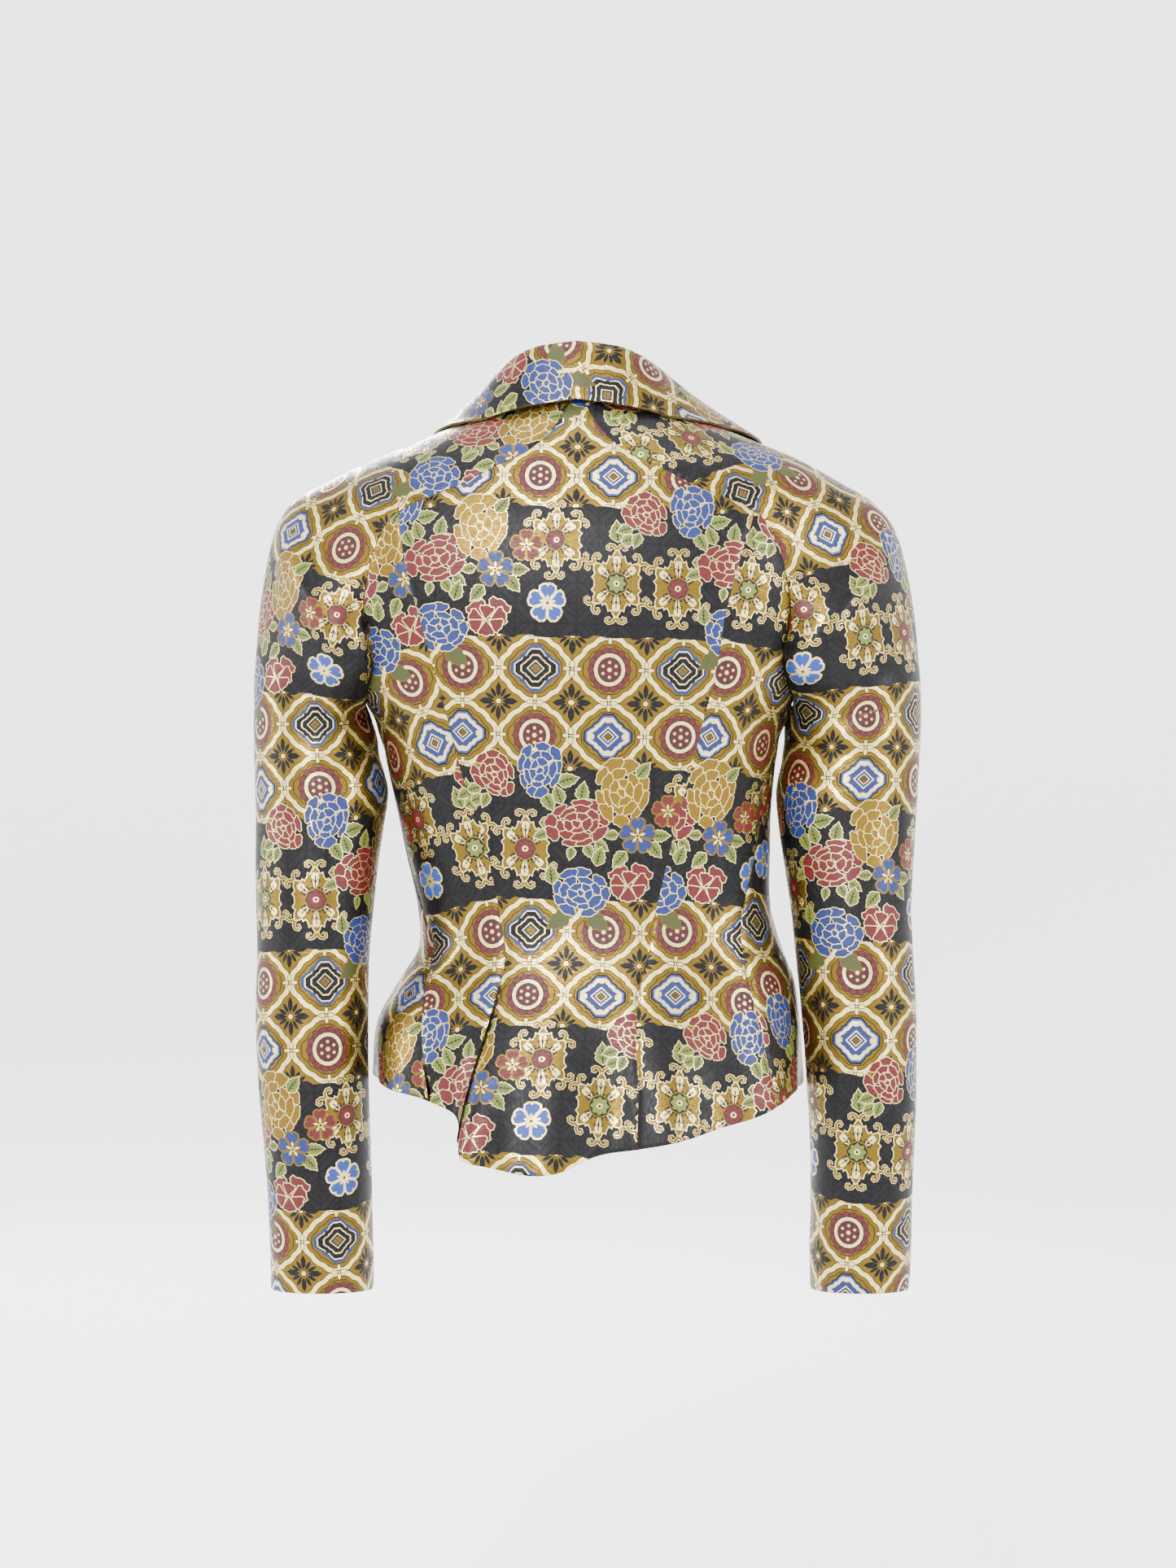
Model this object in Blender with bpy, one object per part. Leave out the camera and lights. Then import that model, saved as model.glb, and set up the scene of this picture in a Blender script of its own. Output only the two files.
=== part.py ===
"""Evening jacket in brocade, hollow as worn, with raglan sleeves, princess seams, a shawl collar
and a fluted peplum.

World frame in metres: +Z up, the wearer faces -Y, +X is the wearer's left. The origin is on the neck's
axis at the height of the back neck seam. The tables below are in millimetres and degrees. An angle is
measured round the body from the centre back (0) over the wearer's left side (90) to the centre front
(180), and is negative on the right.
"""
import math

import bmesh
import bpy
import numpy as np
from mathutils import Vector
from mathutils.bvhtree import BVHTree

MM = 0.001
WALL = 1.8 * MM  # brocade with its interlining
SEAM_GAP = 0.3 * MM  # between two pieces sewn to each other
SQUARE = 2.5  # power of the rounded body section: 2 is an ellipse

# Body sections: half width, sideways place of the middle, and depth to the back and to the front.
BODY_COLUMNS = ("z", "half_width", "middle_x", "back", "front")
BODY_ROWS = (
    (40, 160, 8, 44, 50),
    (0, 172, 8, 60, 62),
    (-50, 184, 8, 88, 80),
    (-100, 190, 8, 107, 98),
    (-150, 188, 8, 113, 116),
    (-200, 170, 7, 110, 132),
    (-235, 151, 6, 105, 138),
    (-283, 140, 4, 96, 135),
    (-330, 134, 0, 89, 122),
    (-373, 130, -5, 86, 110),
    (-401, 134, -9, 90, 107),
    (-421, 144, -7, 97, 110),
    (-450, 155, -1, 110, 118),
    (-500, 159, 0, 127, 130),
    (-550, 163, 0, 140, 138),
    (-620, 168, 0, 154, 146),
)

# Flutes of the peplum: angle of the crest or valley, its spread to either side, how far it stands out
# at the hem, how far the cloth there swings sideways, and the height where it starts.
FLUTE_COLUMNS = ("angle", "spread_down", "spread_up", "out", "swing", "start")
FLUTE_ROWS = (
    (-152, 11, 11, 6, 0, -400),
    (-130, 9, 9, -4, 0, -400),
    (-108, 11, 11, 7, 0, -400),
    (-82, 9, 9, -6, 0, -410),
    (-56, 9, 9, 6, 0, -410),
    (-40, 7, 7, -4, 0, -410),
    (-24, 8, 8, 6, 0, -420),
    (-7, 8, 8, -6, 0, -420),
    (13, 9, 9, 7, 0, -420),
    (30, 7, 6, 16, 1, -440),
    (42, 5, 7, -8, 0, -430),
    (60, 8, 8, 5, 0, -410),
    (82, 9, 9, -6, 0, -410),
    (108, 11, 11, 7, 0, -400),
    (130, 9, 9, -4, 0, -400),
    (152, 11, 11, 6, 0, -400),
)
FLUTE_FULL = -540  # height where the flutes have their full depth

# Hem: its height at each angle. The step at 36 degrees is the deep fold beside the left back seam.
HEM_COLUMNS = ("angle", "z")
HEM_ROWS = (
    (-195, -508),
    (-180, -508),
    (-120, -500),
    (-90, -502),
    (-64, -505),
    (-46, -520),
    (-28, -531),
    (-14, -538),
    (-2, -543),
    (9, -554),
    (17, -555),
    (26, -549),
    (33, -542),
    (39, -520),
    (47, -508),
    (63, -499),
    (90, -496),
    (120, -498),
    (180, -508),
    (195, -508),
)

# Seams down the body, as angles.
SEAM_COLUMNS = ("z", "princess_left", "princess_right", "side_left", "side_right", "princess_front")
SEAM_ROWS = (
    (-84, 56.4, -56.4, 90, -90, 118),
    (-127, 52.0, -49.5, 90, -90, 123),
    (-160, 49.0, -46.4, 90, -90, 128),
    (-200, 47.0, -45.3, 90, -90, 133),
    (-240, 46.0, -43.4, 90, -88, 136),
    (-280, 45.0, -41.0, 86, -75, 137),
    (-320, 42.0, -36.0, 83, -70, 138),
    (-360, 41.5, -30.0, 79, -64, 140),
    (-390, 40.5, -23.5, 71, -58, 140),
    (-420, 37.5, -18.0, 64, -56, 138),
    (-450, 34.5, -17.0, 56, -56, 136),
    (-490, 35.0, -16.0, 50, -56, 134),
    (-570, 36.0, -13.0, 46, -56, 132),
)

# Raglan part of a sleeve, from the neck (0) to the underarm (1): the back seam and the front seam on
# the body, the seam over the shoulder between them, and how full the section is, as a share of the
# distance between its seams.
YOKE_COLUMNS = (
    "station", "back_z", "back_angle", "over_left", "over_right", "over_z", "front_z", "front_angle",
    "fullness",
)
YOKE_ROWS = (
    (0.0, -1, 4, 68, -56, -3, -38, 141, 0.38),
    (0.1, -12, 8.5, 88, -82, -12, -45, 137, 0.38),
    (0.2, -27, 15, 109, -106, -21, -53, 132, 0.38),
    (0.3, -42, 24, 129, -128, -30, -62, 127, 0.38),
    (0.4, -52, 34, 149, -148, -38, -72, 122, 0.38),
    (0.5, -66, 43.5, 172, -168, -48, -84, 118, 0.38),
    (0.6, -84, 56.4, 196, -189, -60, -98, 115, 0.38),
    (0.7, -106, 60, 217, -209, -72, -118, 112.5, 0.38),
    (0.8, -150, 63, 231, -227, -95, -150, 110.5, 0.38),
    (0.9, -200, 66, 241, -239, -145, -195, 107, 0.42),
    (1.0, -235, 90, 246, -245, -205, -235, 90, 0.78),
)
LEAVE_FROM = 0.62  # from this station on, the sleeve turns from the body's own slope to front and back
LEAVE_SPLAY = 0.12  # share of that turn that goes outwards
LEAVE_STEP = 1.5  # degrees over which the body's own slope is read
PRINCESS_BACK_AT = 0.6  # station where the back princess seam meets the raglan seam
PRINCESS_FRONT_AT = 0.5
RAGLAN_SPANS = (8, 1, 8)  # spans from the neck to the front princess seam, the back one, the underarm

# Arm part of a sleeve: inner and outer edge, middle and half of the depth, and how much higher the
# outer edge of the same ring is.
ARM_COLUMNS = (
    "z", "inner_left", "outer_left", "inner_right", "outer_right", "middle_y", "half_depth", "tilt",
)
ARM_ROWS = (
    (-235, 157.0, 246, -145.0, -245, 0, 54, 30),
    (-262, 152.5, 246, -142.5, -245, 3, 54, 20),
    (-285, 147.0, 245, -138.5, -243, 6, 53, 10),
    (-310, 150.0, 244, -140.0, -241, 9, 51, 4),
    (-335, 153.5, 244, -143.5, -239, 12, 50, 0),
    (-370, 157.0, 243, -148.5, -237, 17, 48, 0),
    (-405, 160.0, 242, -152.0, -238, 21, 46, 0),
    (-441, 160.5, 243, -155.5, -240, 24, 44, 0),
    (-478, 160.5, 242, -158.5, -240, 25, 43, 0),
    (-515, 160.0, 240, -161.0, -240, 22, 42, 0),
    (-551, 159.0, 237, -163.0, -239, 16, 41, 0),
    (-588, 158.5, 235, -163.5, -238, 9, 40, 0),
    (-625, 158.0, 234, -163.0, -238, 2, 39, 0),
    (-652, 158.0, 234, -164.0, -237, -4, 39, 0),
)

BOW = 4 / 3  # length of a cubic curve's handles over the height of its arch

# Front neckline, from the raglan seam down to where the fronts cross.
NECKLINE_COLUMNS = ("along", "z", "angle")
NECKLINE_ROWS = (
    (0.0, -38, 141),
    (0.25, -75, 152),
    (0.5, -112, 161),
    (0.75, -160, 171),
    (1.0, -212, 186),
)
OVERLAP_ANGLE = 6  # each front runs this far past the centre front
LAP_FROM, LAP_TO = 158, 170  # the right front rises over the left one between these angles

# Collar, from the centre back (0) to the break at the centre front (8): where it rolls over and its
# free edge.
COLLAR_COLUMNS = (
    "station", "roll_left", "roll_right", "roll_y", "roll_z", "edge_left", "edge_right", "edge_y", "edge_z",
)
COLLAR_ROWS = (
    (0, 8, 8, 50, 40, 8, 8, 69, -2),
    (1, 38, -24, 44, 36, 49, -35, 65, -8),
    (2, 58, -45, 24, 27, 84, -76, 42, -17),
    (3, 66, -56, -4, 17, 108, -113, 6, -20),
    (4, 70, -62, -34, 4, 120, -131, -34, -28),
    (5, 69, -59, -68, -22, 120, -124, -72, -56),
    (6, 55, -42, -96, -75, 100, -96, -99, -110),
    (7, 30, -18, -125, -140, 62, -54, -131, -168),
    (8, 8, 2, -146, -200, 18, -10, -148, -214),
)
STAND_END = 4.8  # the stand tapers out here, where the roll meets the front's own edge
LIE_CLEAR = WALL + 1.4 * MM  # from the collar's outer face to the cloth that it lies on
LIE_REACH = 30 * MM
LIE_TRIES = 6
BODY_MIDDLE = (0.008, 0.0, -0.15)  # in metres, inside the cloth
NECK_MIDDLE = (0.008, 0.01, 0.0)
FALL_SHARES = (0.3, 0.35)  # of the drop, for the handles of the outer leaf's curve
FALL_ROUND = 7 * MM  # how wide the leaf rolls at most
FALL_LIFT = 2 * MM
STAND_INSET = 2 * SEAM_GAP  # of the stand's foot inside the neck seam, and twice that at the roll

BUTTON_HEIGHTS = (-232, -302, -372)
BUTTON_RADIUS = 9 * MM
BUTTON_RISE = 4.5 * MM
BUTTON_CLEAR = 0.15 * MM  # between the button's rim and the cloth at their nearest
BUTTON_STEEPEST = 80  # degrees of the dome that are built, from the rim up
BUTTON_SIDE = 0.25  # share of the rise that is the upright side
BUTTON_RINGS, BUTTON_SEGMENTS = 5, 16

# Fineness of the grids. Pieces sewn to each other have the same points along their seam.
BODY_SPANS = 22
SLEEVE_SPANS = 8
ARM_SPANS = 13
COLLAR_SPANS = (48, 7)
STAND_SPANS = (34, 2)

COLOURS = {
    "brocade_gold": (0.45, 0.26, 0.05),
    "brocade_black": (0.02, 0.02, 0.023),
    "covered_button": (0.40, 0.23, 0.05),
}


def bends(xs, ys, x):
    """The value at x of a smooth curve through the rows (xs, ys), level past its ends."""
    xs, ys = np.asarray(xs, float), np.asarray(ys, float)
    if xs[0] > xs[-1]:
        xs, ys = xs[::-1], ys[::-1]
    x = np.clip(np.asarray(x, float), xs[0], xs[-1])
    step = np.diff(xs)
    rise = np.diff(ys) / step
    slope = np.empty_like(ys)
    slope[1:-1] = (rise[:-1] * step[1:] + rise[1:] * step[:-1]) / (step[:-1] + step[1:])
    slope[0], slope[-1] = rise[0], rise[-1]
    i = np.clip(np.searchsorted(xs, x, side="right") - 1, 0, len(step) - 1)
    t = (x - xs[i]) / step[i]
    start = (1 + 2 * t) * (1 - t) ** 2 * ys[i] + t * (1 - t) ** 2 * step[i] * slope[i]
    end = t * t * (3 - 2 * t) * ys[i + 1] + t * t * (t - 1) * step[i] * slope[i + 1]
    return start + end


def read(columns, rows, name, at):
    """Column name of a table at the values at of its first column."""
    k = columns.index(name)
    return bends([row[0] for row in rows], [row[k] for row in rows], at)


def ease(t):
    t = np.clip(t, 0.0, 1.0)
    return t * t * (3 - 2 * t)


def unit(v):
    return v / np.maximum(np.linalg.norm(v, axis=-1, keepdims=True), 1e-12)


def body(angle, z, lift=0.0):
    """Points of the body's outer form at angles and heights in table units, raised by lift in mm."""
    angle, z = np.broadcast_arrays(np.asarray(angle, float), np.asarray(z, float))
    out = np.zeros(angle.shape) + lift
    swing = np.zeros(angle.shape)
    for row in FLUTE_ROWS:
        flute = dict(zip(FLUTE_COLUMNS, row))
        away = (angle - flute["angle"] + 180) % 360 - 180
        width = np.where(away < 0, flute["spread_down"], flute["spread_up"])
        depth = ease((flute["start"] - z) / (flute["start"] - FLUTE_FULL))
        bell = np.exp(-((away / width) ** 2)) * depth
        out += flute["out"] * bell
        swing += flute["swing"] * bell
    turn = np.radians(angle + swing)
    side, back = np.sin(turn), np.cos(turn)
    width = read(BODY_COLUMNS, BODY_ROWS, "half_width", z)
    depth = np.where(
        back >= 0, read(BODY_COLUMNS, BODY_ROWS, "back", z), read(BODY_COLUMNS, BODY_ROWS, "front", z)
    )
    reach = (np.abs(side / width) ** SQUARE + np.abs(back / depth) ** SQUARE) ** (-1 / SQUARE) + out
    middle = read(BODY_COLUMNS, BODY_ROWS, "middle_x", z)
    return np.stack([middle + reach * side, reach * back, z], -1) * MM


def seam(name, z):
    return read(SEAM_COLUMNS, SEAM_ROWS, name, z)


def hem(angle):
    return read(HEM_COLUMNS, HEM_ROWS, "z", angle)


def yoke(name, station):
    return read(YOKE_COLUMNS, YOKE_ROWS, name, station)


def hem_point(seam_name, sign=1):
    """Angle and height where a seam reaches the hem."""
    z = -520.0
    for _ in range(30):
        angle = sign * float(seam(seam_name, z))
        z = float(hem(angle))
    return angle, z


def spread(points, count):
    """Resamples a polyline of (angle, z) rows to count + 1 points at even steps on the body."""
    places = body(points[:, 0], points[:, 1])
    run = np.concatenate([[0], np.cumsum(np.linalg.norm(np.diff(places, axis=0), axis=1))])
    at = np.linspace(0, run[-1], count + 1)
    return np.stack([np.interp(at, run, points[:, k]) for k in range(2)], -1)


def coons(low, high, first, last):
    """Fills a four-sided patch of (angle, z) from its bottom, top, and two side edges."""
    across = np.linspace(0, 1, len(low))[:, None, None]
    along = np.linspace(0, 1, len(first))[None, :, None]
    sides = first[None] * (1 - across) + last[None] * across
    ends = low[:, None] * (1 - along) + high[:, None] * along
    corners = (low[0] * (1 - across) + low[-1] * across) * (1 - along)
    corners = corners + (high[0] * (1 - across) + high[-1] * across) * along
    return sides + ends - corners


def raglan(station, side, half):
    """(angle, z) rows of a raglan seam at the given stations; side is 1 for left, half back or front."""
    return np.stack([side * yoke(half + "_angle", station), yoke(half + "_z", station)], -1)


def down(seam_name, top_z, low, sign=1):
    """(angle, z) rows of a seam from the hem point low up to height top_z."""
    z = np.linspace(low[1], top_z, 80)
    return np.stack([sign * seam(seam_name, z), z], -1)


def along_hem(first, last):
    angle = np.linspace(first, last, 90)
    return np.stack([angle, hem(angle)], -1)


def stations(first, last):
    """The raglan seam's stations, from first to last, that the pieces on both its sides share."""
    near, middle, far = RAGLAN_SPANS
    rows = np.concatenate([
        np.linspace(0, PRINCESS_FRONT_AT, near + 1),
        np.linspace(PRINCESS_FRONT_AT, PRINCESS_BACK_AT, middle + 1)[1:],
        np.linspace(PRINCESS_BACK_AT, 1, far + 1)[1:],
    ])
    low, high = sorted((first, last))
    rows = rows[(rows > low - 1e-6) & (rows < high + 1e-6)]
    return rows if first < last else rows[::-1]


def body_patch(first, last, top):
    """Grid of (angle, z) between two side edges, each given from the hem up, and a top edge."""
    low = spread(along_hem(first[0, 0], last[0, 0]), len(top) - 1)
    return coons(low, top, spread(first, BODY_SPANS), spread(last, BODY_SPANS))


def back_centre_grid():
    rows = stations(0, PRINCESS_BACK_AT)
    left_top, right_top = raglan(rows, 1, "back"), raglan(rows, -1, "back")
    top = np.concatenate([right_top[::-1], left_top])
    first = down("princess_right", right_top[-1, 1], hem_point("princess_right"))
    last = down("princess_left", left_top[-1, 1], hem_point("princess_left"))
    first[-1], last[-1] = right_top[-1], left_top[-1]
    return body_patch(first, last, top)


def back_side_grid(side):
    name = "left" if side > 0 else "right"
    top = raglan(stations(PRINCESS_BACK_AT, 1), side, "back")
    first = down("princess_" + name, top[0, 1], hem_point("princess_" + name))
    last = down("side_" + name, top[-1, 1], hem_point("side_" + name))
    first[-1], last[-1] = top[0], top[-1]
    return body_patch(first, last, top)


def front_side_grid(side):
    name = "left" if side > 0 else "right"
    top = raglan(stations(1, PRINCESS_FRONT_AT), side, "front")
    first = down("side_" + name, top[0, 1], hem_point("side_" + name))
    last = down("princess_front", top[-1, 1], hem_point("princess_front", side), side)
    first[-1], last[-1] = top[0], top[-1]
    return body_patch(first, last, top)


def neckline(along, side):
    angle = read(NECKLINE_COLUMNS, NECKLINE_ROWS, "angle", along)
    return np.stack([side * angle, read(NECKLINE_COLUMNS, NECKLINE_ROWS, "z", along)], -1)


def front_grid(side):
    """Front from the princess seam to its own edge past the centre; the neckline is part of that edge."""
    top = raglan(stations(PRINCESS_FRONT_AT, 0), side, "front")
    first = down("princess_front", top[0, 1], hem_point("princess_front", side), side)
    first[-1] = top[0]
    edge_angle = side * (180 + OVERLAP_ANGLE)
    neck = neckline(np.linspace(1, 0, 60), side)
    edge_z = np.linspace(float(hem(edge_angle)), neck[0, 1], 40)[:-1]
    edge = np.stack([np.full(len(edge_z), float(edge_angle)), edge_z], -1)
    return body_patch(first, np.concatenate([edge, neck]), top)


def lap(angle, side):
    """How far the right front stands over the left one, in mm; 0 on every other piece."""
    over = (WALL + 2 * SEAM_GAP) / MM
    return over * ease((side * angle - LAP_FROM) / (LAP_TO - LAP_FROM)) * (side < 0)


def body_away(angle, z, side=1):
    """Outward direction of the body's form, from steps of half a degree and half a millimetre."""
    step = 0.5
    after, before = angle + step, angle - step
    round_it = body(after, z, lap(after, side)) - body(before, z, lap(before, side))
    up_it = body(angle, z + step, lap(angle, side)) - body(angle, z - step, lap(angle, side))
    return unit(np.cross(up_it, round_it))


def bezier(first, lean_first, lean_last, last, t):
    """Points at t of the cubic curve from first to last with its two handles."""
    t = t[:, None]
    start = (1 - t) ** 3 * first + 3 * t * (1 - t) ** 2 * lean_first
    return start + 3 * t * t * (1 - t) * lean_last + t**3 * last


def half_way(half):
    return np.array([0.0, 1.0 if half == "back" else -1.0, 0.0])


def seam_lean(side, half, row):
    """Direction in which the sleeve leaves its raglan seam at a station."""
    angle, z = raglan(np.array(row), side, half)
    onward = side * (LEAVE_STEP if half == "back" else -LEAVE_STEP)
    flow = unit(body(angle + onward, z) - body(angle, z))
    late = ease((row - LEAVE_FROM) / (1 - LEAVE_FROM))
    return unit(flow * (1 - late) + (half_way(half) + np.array([side * LEAVE_SPLAY, 0, 0])) * late)


def sleeve_section(side, half, row, t):
    """One section of a sleeve half, from its body seam or underarm seam (t 0) to the over-arm seam (1).

    row is a station of the yoke up to 1, and past 1 it is 1 plus the share of the arm's length.
    """
    name = "left" if side > 0 else "right"
    way = half_way(half)
    if row <= 1:
        angle, z = raglan(np.array(row), side, half)
        seam_point = body(angle, z)
        over = np.array([yoke("over_" + name, row), 0.0, yoke("over_z", row)]) * MM
        reach = np.linalg.norm(over - seam_point) * yoke("fullness", row)
        leave = seam_point + seam_lean(side, half, row) * reach
        return bezier(seam_point, leave, over + way * reach, over, t)
    z = ARM_ROWS[0][0] + (row - 1) * (ARM_ROWS[-1][0] - ARM_ROWS[0][0])
    value = {n: float(read(ARM_COLUMNS, ARM_ROWS, n, z)) for n in ARM_COLUMNS[1:]}
    inner = np.array([value["inner_" + name], value["middle_y"], z]) * MM
    outer = np.array([value["outer_" + name], value["middle_y"], z + value["tilt"]]) * MM
    bow = way * value["half_depth"] * MM * BOW
    return bezier(inner, inner + bow, outer + bow, outer, t)


def sleeve_grid(side, half):
    rows = np.concatenate([stations(0, 1), 1 + np.linspace(0, 1, ARM_SPANS + 1)[1:]])
    t = np.linspace(0, 1, SLEEVE_SPANS + 1)
    return np.stack([sleeve_section(side, half, row, t) for row in rows], 1)


def raglan_away(side, half, row):
    """Outward direction shared by both pieces along the raglan seam, halfway between theirs."""
    angle, z = raglan(np.array(row), side, half)
    step = 0.01
    before = body(*raglan(np.array(max(row - step, 0)), side, half))
    after = body(*raglan(np.array(min(row + step, 1)), side, half))
    on_body = body_away(angle, z)
    on_sleeve = unit(np.cross(after - before, seam_lean(side, half, row)))
    on_sleeve = on_sleeve if np.dot(on_sleeve, on_body) > 0 else -on_sleeve
    return unit(on_body + on_sleeve)


def sleeve_away(side, half, grid):
    """Outward directions of a sleeve half; on its seams they are the ones of the piece across."""
    way = half_way(half)
    along = np.gradient(grid, axis=1, edge_order=2)
    away = unit(np.cross(np.gradient(grid, axis=0, edge_order=2), along))
    turn = 1 if np.dot(away[SLEEVE_SPANS // 2, -ARM_SPANS // 2], way) > 0 else -1
    away *= turn
    away[0] = unit(np.cross(way, along[0])) * turn
    away[-1] = unit(np.cross(-way, along[-1])) * turn
    for k, row in enumerate(stations(0, 1)[:-1]):
        away[0, k] = raglan_away(side, half, row)
    return away


def collar_line(kind, station):
    """Points of the roll or the free edge at signed stations: negative ones are on the right."""
    station = np.asarray(station, float)
    away = np.abs(station)
    left, right, y, z = (
        read(COLLAR_COLUMNS, COLLAR_ROWS, kind + end, away) for end in ("_left", "_right", "_y", "_z")
    )
    return np.stack([np.where(station >= 0, left, right), y, z], -1) * MM


def neck_edge(station):
    """Points of the neck seam at signed collar stations up to the raglan seam's front end."""
    points = []
    for s in np.atleast_1d(station):
        side = 1 if s >= 0 else -1
        share = abs(s) / STAND_END
        if share < 0.5:
            section = sleeve_section(side, "back", 0.0, np.array([share * 2]))
        else:
            section = sleeve_section(side, "front", 0.0, np.array([2 - share * 2]))
        points.append(section[0])
    return np.array(points)


def on_body(grid, side=1):
    """Points on the cloth's outer face for a grid of (angle, z)."""
    return body(grid[..., 0], grid[..., 1], lap(grid[..., 0], side))


def search_tree(grids):
    """A search tree of the faces of several grids of points."""
    points, faces = [], []
    for grid in grids:
        across, along = grid.shape[:2]
        first = len(points)
        points += grid.reshape(-1, 3).tolist()
        for i in range(across - 1):
            for j in range(along - 1):
                k = first + i * along + j
                faces.append((k, k + 1, k + along + 1, k + along))
    return BVHTree.FromPolygons(points, faces)


def cloth_under_collar():
    """A search tree of the outer faces that the collar lies on."""
    grids = [on_body(back_centre_grid())]
    for side in (1, -1):
        grids.append(on_body(front_grid(side), side))
        grids += [sleeve_grid(side, half) for half in ("back", "front")]
    return search_tree(grids)


def laid_on(grid, tree):
    """Lifts the collar's points that are too near the cloth under them, seen from the neck's middle."""
    out = grid.copy()
    for i in range(grid.shape[0]):
        for j in range(grid.shape[1]):
            for _ in range(LIE_TRIES):
                point = Vector(out[i, j])
                near, normal, _, away = tree.find_nearest(point)
                if near is None or away > LIE_REACH:
                    break
                if normal.dot(near - Vector(BODY_MIDDLE)) < 0:
                    normal = -normal
                short = LIE_CLEAR - (point - near).dot(normal)
                if short <= 0:
                    break
                out[i, j] += np.array(normal) * short
    return out


def fall_grid():
    """The collar's outer leaf, from the roll over and down to its free edge on the cloth."""
    end = COLLAR_ROWS[-1][0]
    station = np.linspace(-end, end, COLLAR_SPANS[0] + 1)
    roll = collar_line("roll", station) + np.array([0, 0, WALL + SEAM_GAP])
    edge = collar_line("edge", station)
    outward = edge - roll
    outward[:, 2] = 0
    outward = unit(outward)
    drop = np.linalg.norm(edge - roll, axis=1, keepdims=True)
    t = np.linspace(0, 1, COLLAR_SPANS[1] + 1)
    lean = roll + outward * np.minimum(drop * FALL_SHARES[0], FALL_ROUND)
    low = edge + (roll - edge) * FALL_SHARES[1] + np.array([0, 0, FALL_LIFT])
    rows = [bezier(roll[i], lean[i], low[i], edge[i], t) for i in range(len(station))]
    return laid_on(np.stack(rows, 0), cloth_under_collar())


def stand_grid():
    """The collar's inner leaf, from the neck seam up to the roll."""
    station = np.linspace(-STAND_END, STAND_END, STAND_SPANS[0] + 1)
    base = neck_edge(station)
    inward = unit(np.array(NECK_MIDDLE) - base) * np.array([1, 1, 0])
    base = base + inward * STAND_INSET
    roll = collar_line("roll", station) + inward * 2 * STAND_INSET - np.array([0, 0, 3 * SEAM_GAP])
    t = np.linspace(0, 1, STAND_SPANS[1] + 1)[None, :, None]
    return base[:, None] * (1 - t) + roll[:, None] * t


def drawn_in(grid, gap):
    """Moves a grid's rim inwards on its own surface by half a seam gap."""
    out = grid.copy()
    for axis in (0, 1):
        moved = np.swapaxes(out, 0, axis)
        source = np.swapaxes(grid, 0, axis)
        for edge, beside in ((0, 1), (-1, -2)):
            inward = source[beside] - source[edge]
            along = unit(np.gradient(source[edge], axis=0))
            inward = inward - along * np.sum(inward * along, -1, keepdims=True)
            moved[edge] += unit(inward) * gap / 2
    return out


def grid_away(grid, middle):
    """Outward directions of any open grid, away from middle at its centre."""
    across, along = np.gradient(grid, axis=0, edge_order=2), np.gradient(grid, axis=1, edge_order=2)
    away = unit(np.cross(across, along))
    centre = (grid.shape[0] // 2, grid.shape[1] // 2)
    return away if np.dot(away[centre], grid[centre] - np.array(middle)) > 0 else -away


def material(name):
    found = bpy.data.materials.get(name) or bpy.data.materials.new(name)
    found.use_nodes = True
    shader = found.node_tree.nodes["Principled BSDF"]
    shader.inputs["Base Color"].default_value = (*COLOURS[name], 1.0)
    shader.inputs["Roughness"].default_value = 0.45
    return found


def add_object(name, bm, finish):
    bmesh.ops.recalc_face_normals(bm, faces=bm.faces)
    mesh = bpy.data.meshes.new(name)
    bm.to_mesh(mesh)
    bm.free()
    mesh.materials.append(material(finish))
    mesh.shade_smooth()
    mesh.set_sharp_from_angle(angle=math.radians(50))
    thing = bpy.data.objects.new(name, mesh)
    bpy.context.scene.collection.objects.link(thing)
    return thing


def cloth_piece(name, grid, away, finish):
    """A closed wall whose outer face is the grid and whose inner face lies WALL behind it."""
    outer = drawn_in(grid, SEAM_GAP)
    inner = outer - away * WALL
    across, along = grid.shape[:2]
    bm = bmesh.new()
    walls = [[[bm.verts.new(p) for p in line] for line in layer] for layer in (outer, inner)]
    for layer in walls:
        for i in range(across - 1):
            for j in range(along - 1):
                bm.faces.new((layer[i][j], layer[i + 1][j], layer[i + 1][j + 1], layer[i][j + 1]))
    rim = [(i, 0) for i in range(across)] + [(across - 1, j) for j in range(1, along)]
    rim += [(i, along - 1) for i in range(across - 2, -1, -1)]
    rim += [(0, j) for j in range(along - 2, 0, -1)]
    for (i, j), (k, m) in zip(rim, rim[1:] + rim[:1]):
        bm.faces.new((walls[0][i][j], walls[0][k][m], walls[1][k][m], walls[1][i][j]))
    return add_object(name, bm, finish)


def body_piece(name, grid, finish, raglans, side=1):
    """A body panel; raglans lists (side, half, station) for each point of its top edge, or None."""
    angle, z = grid[..., 0], grid[..., 1]
    away = body_away(angle, z, side)
    for k, place in enumerate(raglans):
        if place:
            away[k, -1] = raglan_away(*place)
    return cloth_piece(name, on_body(grid, side), away, finish)


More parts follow.
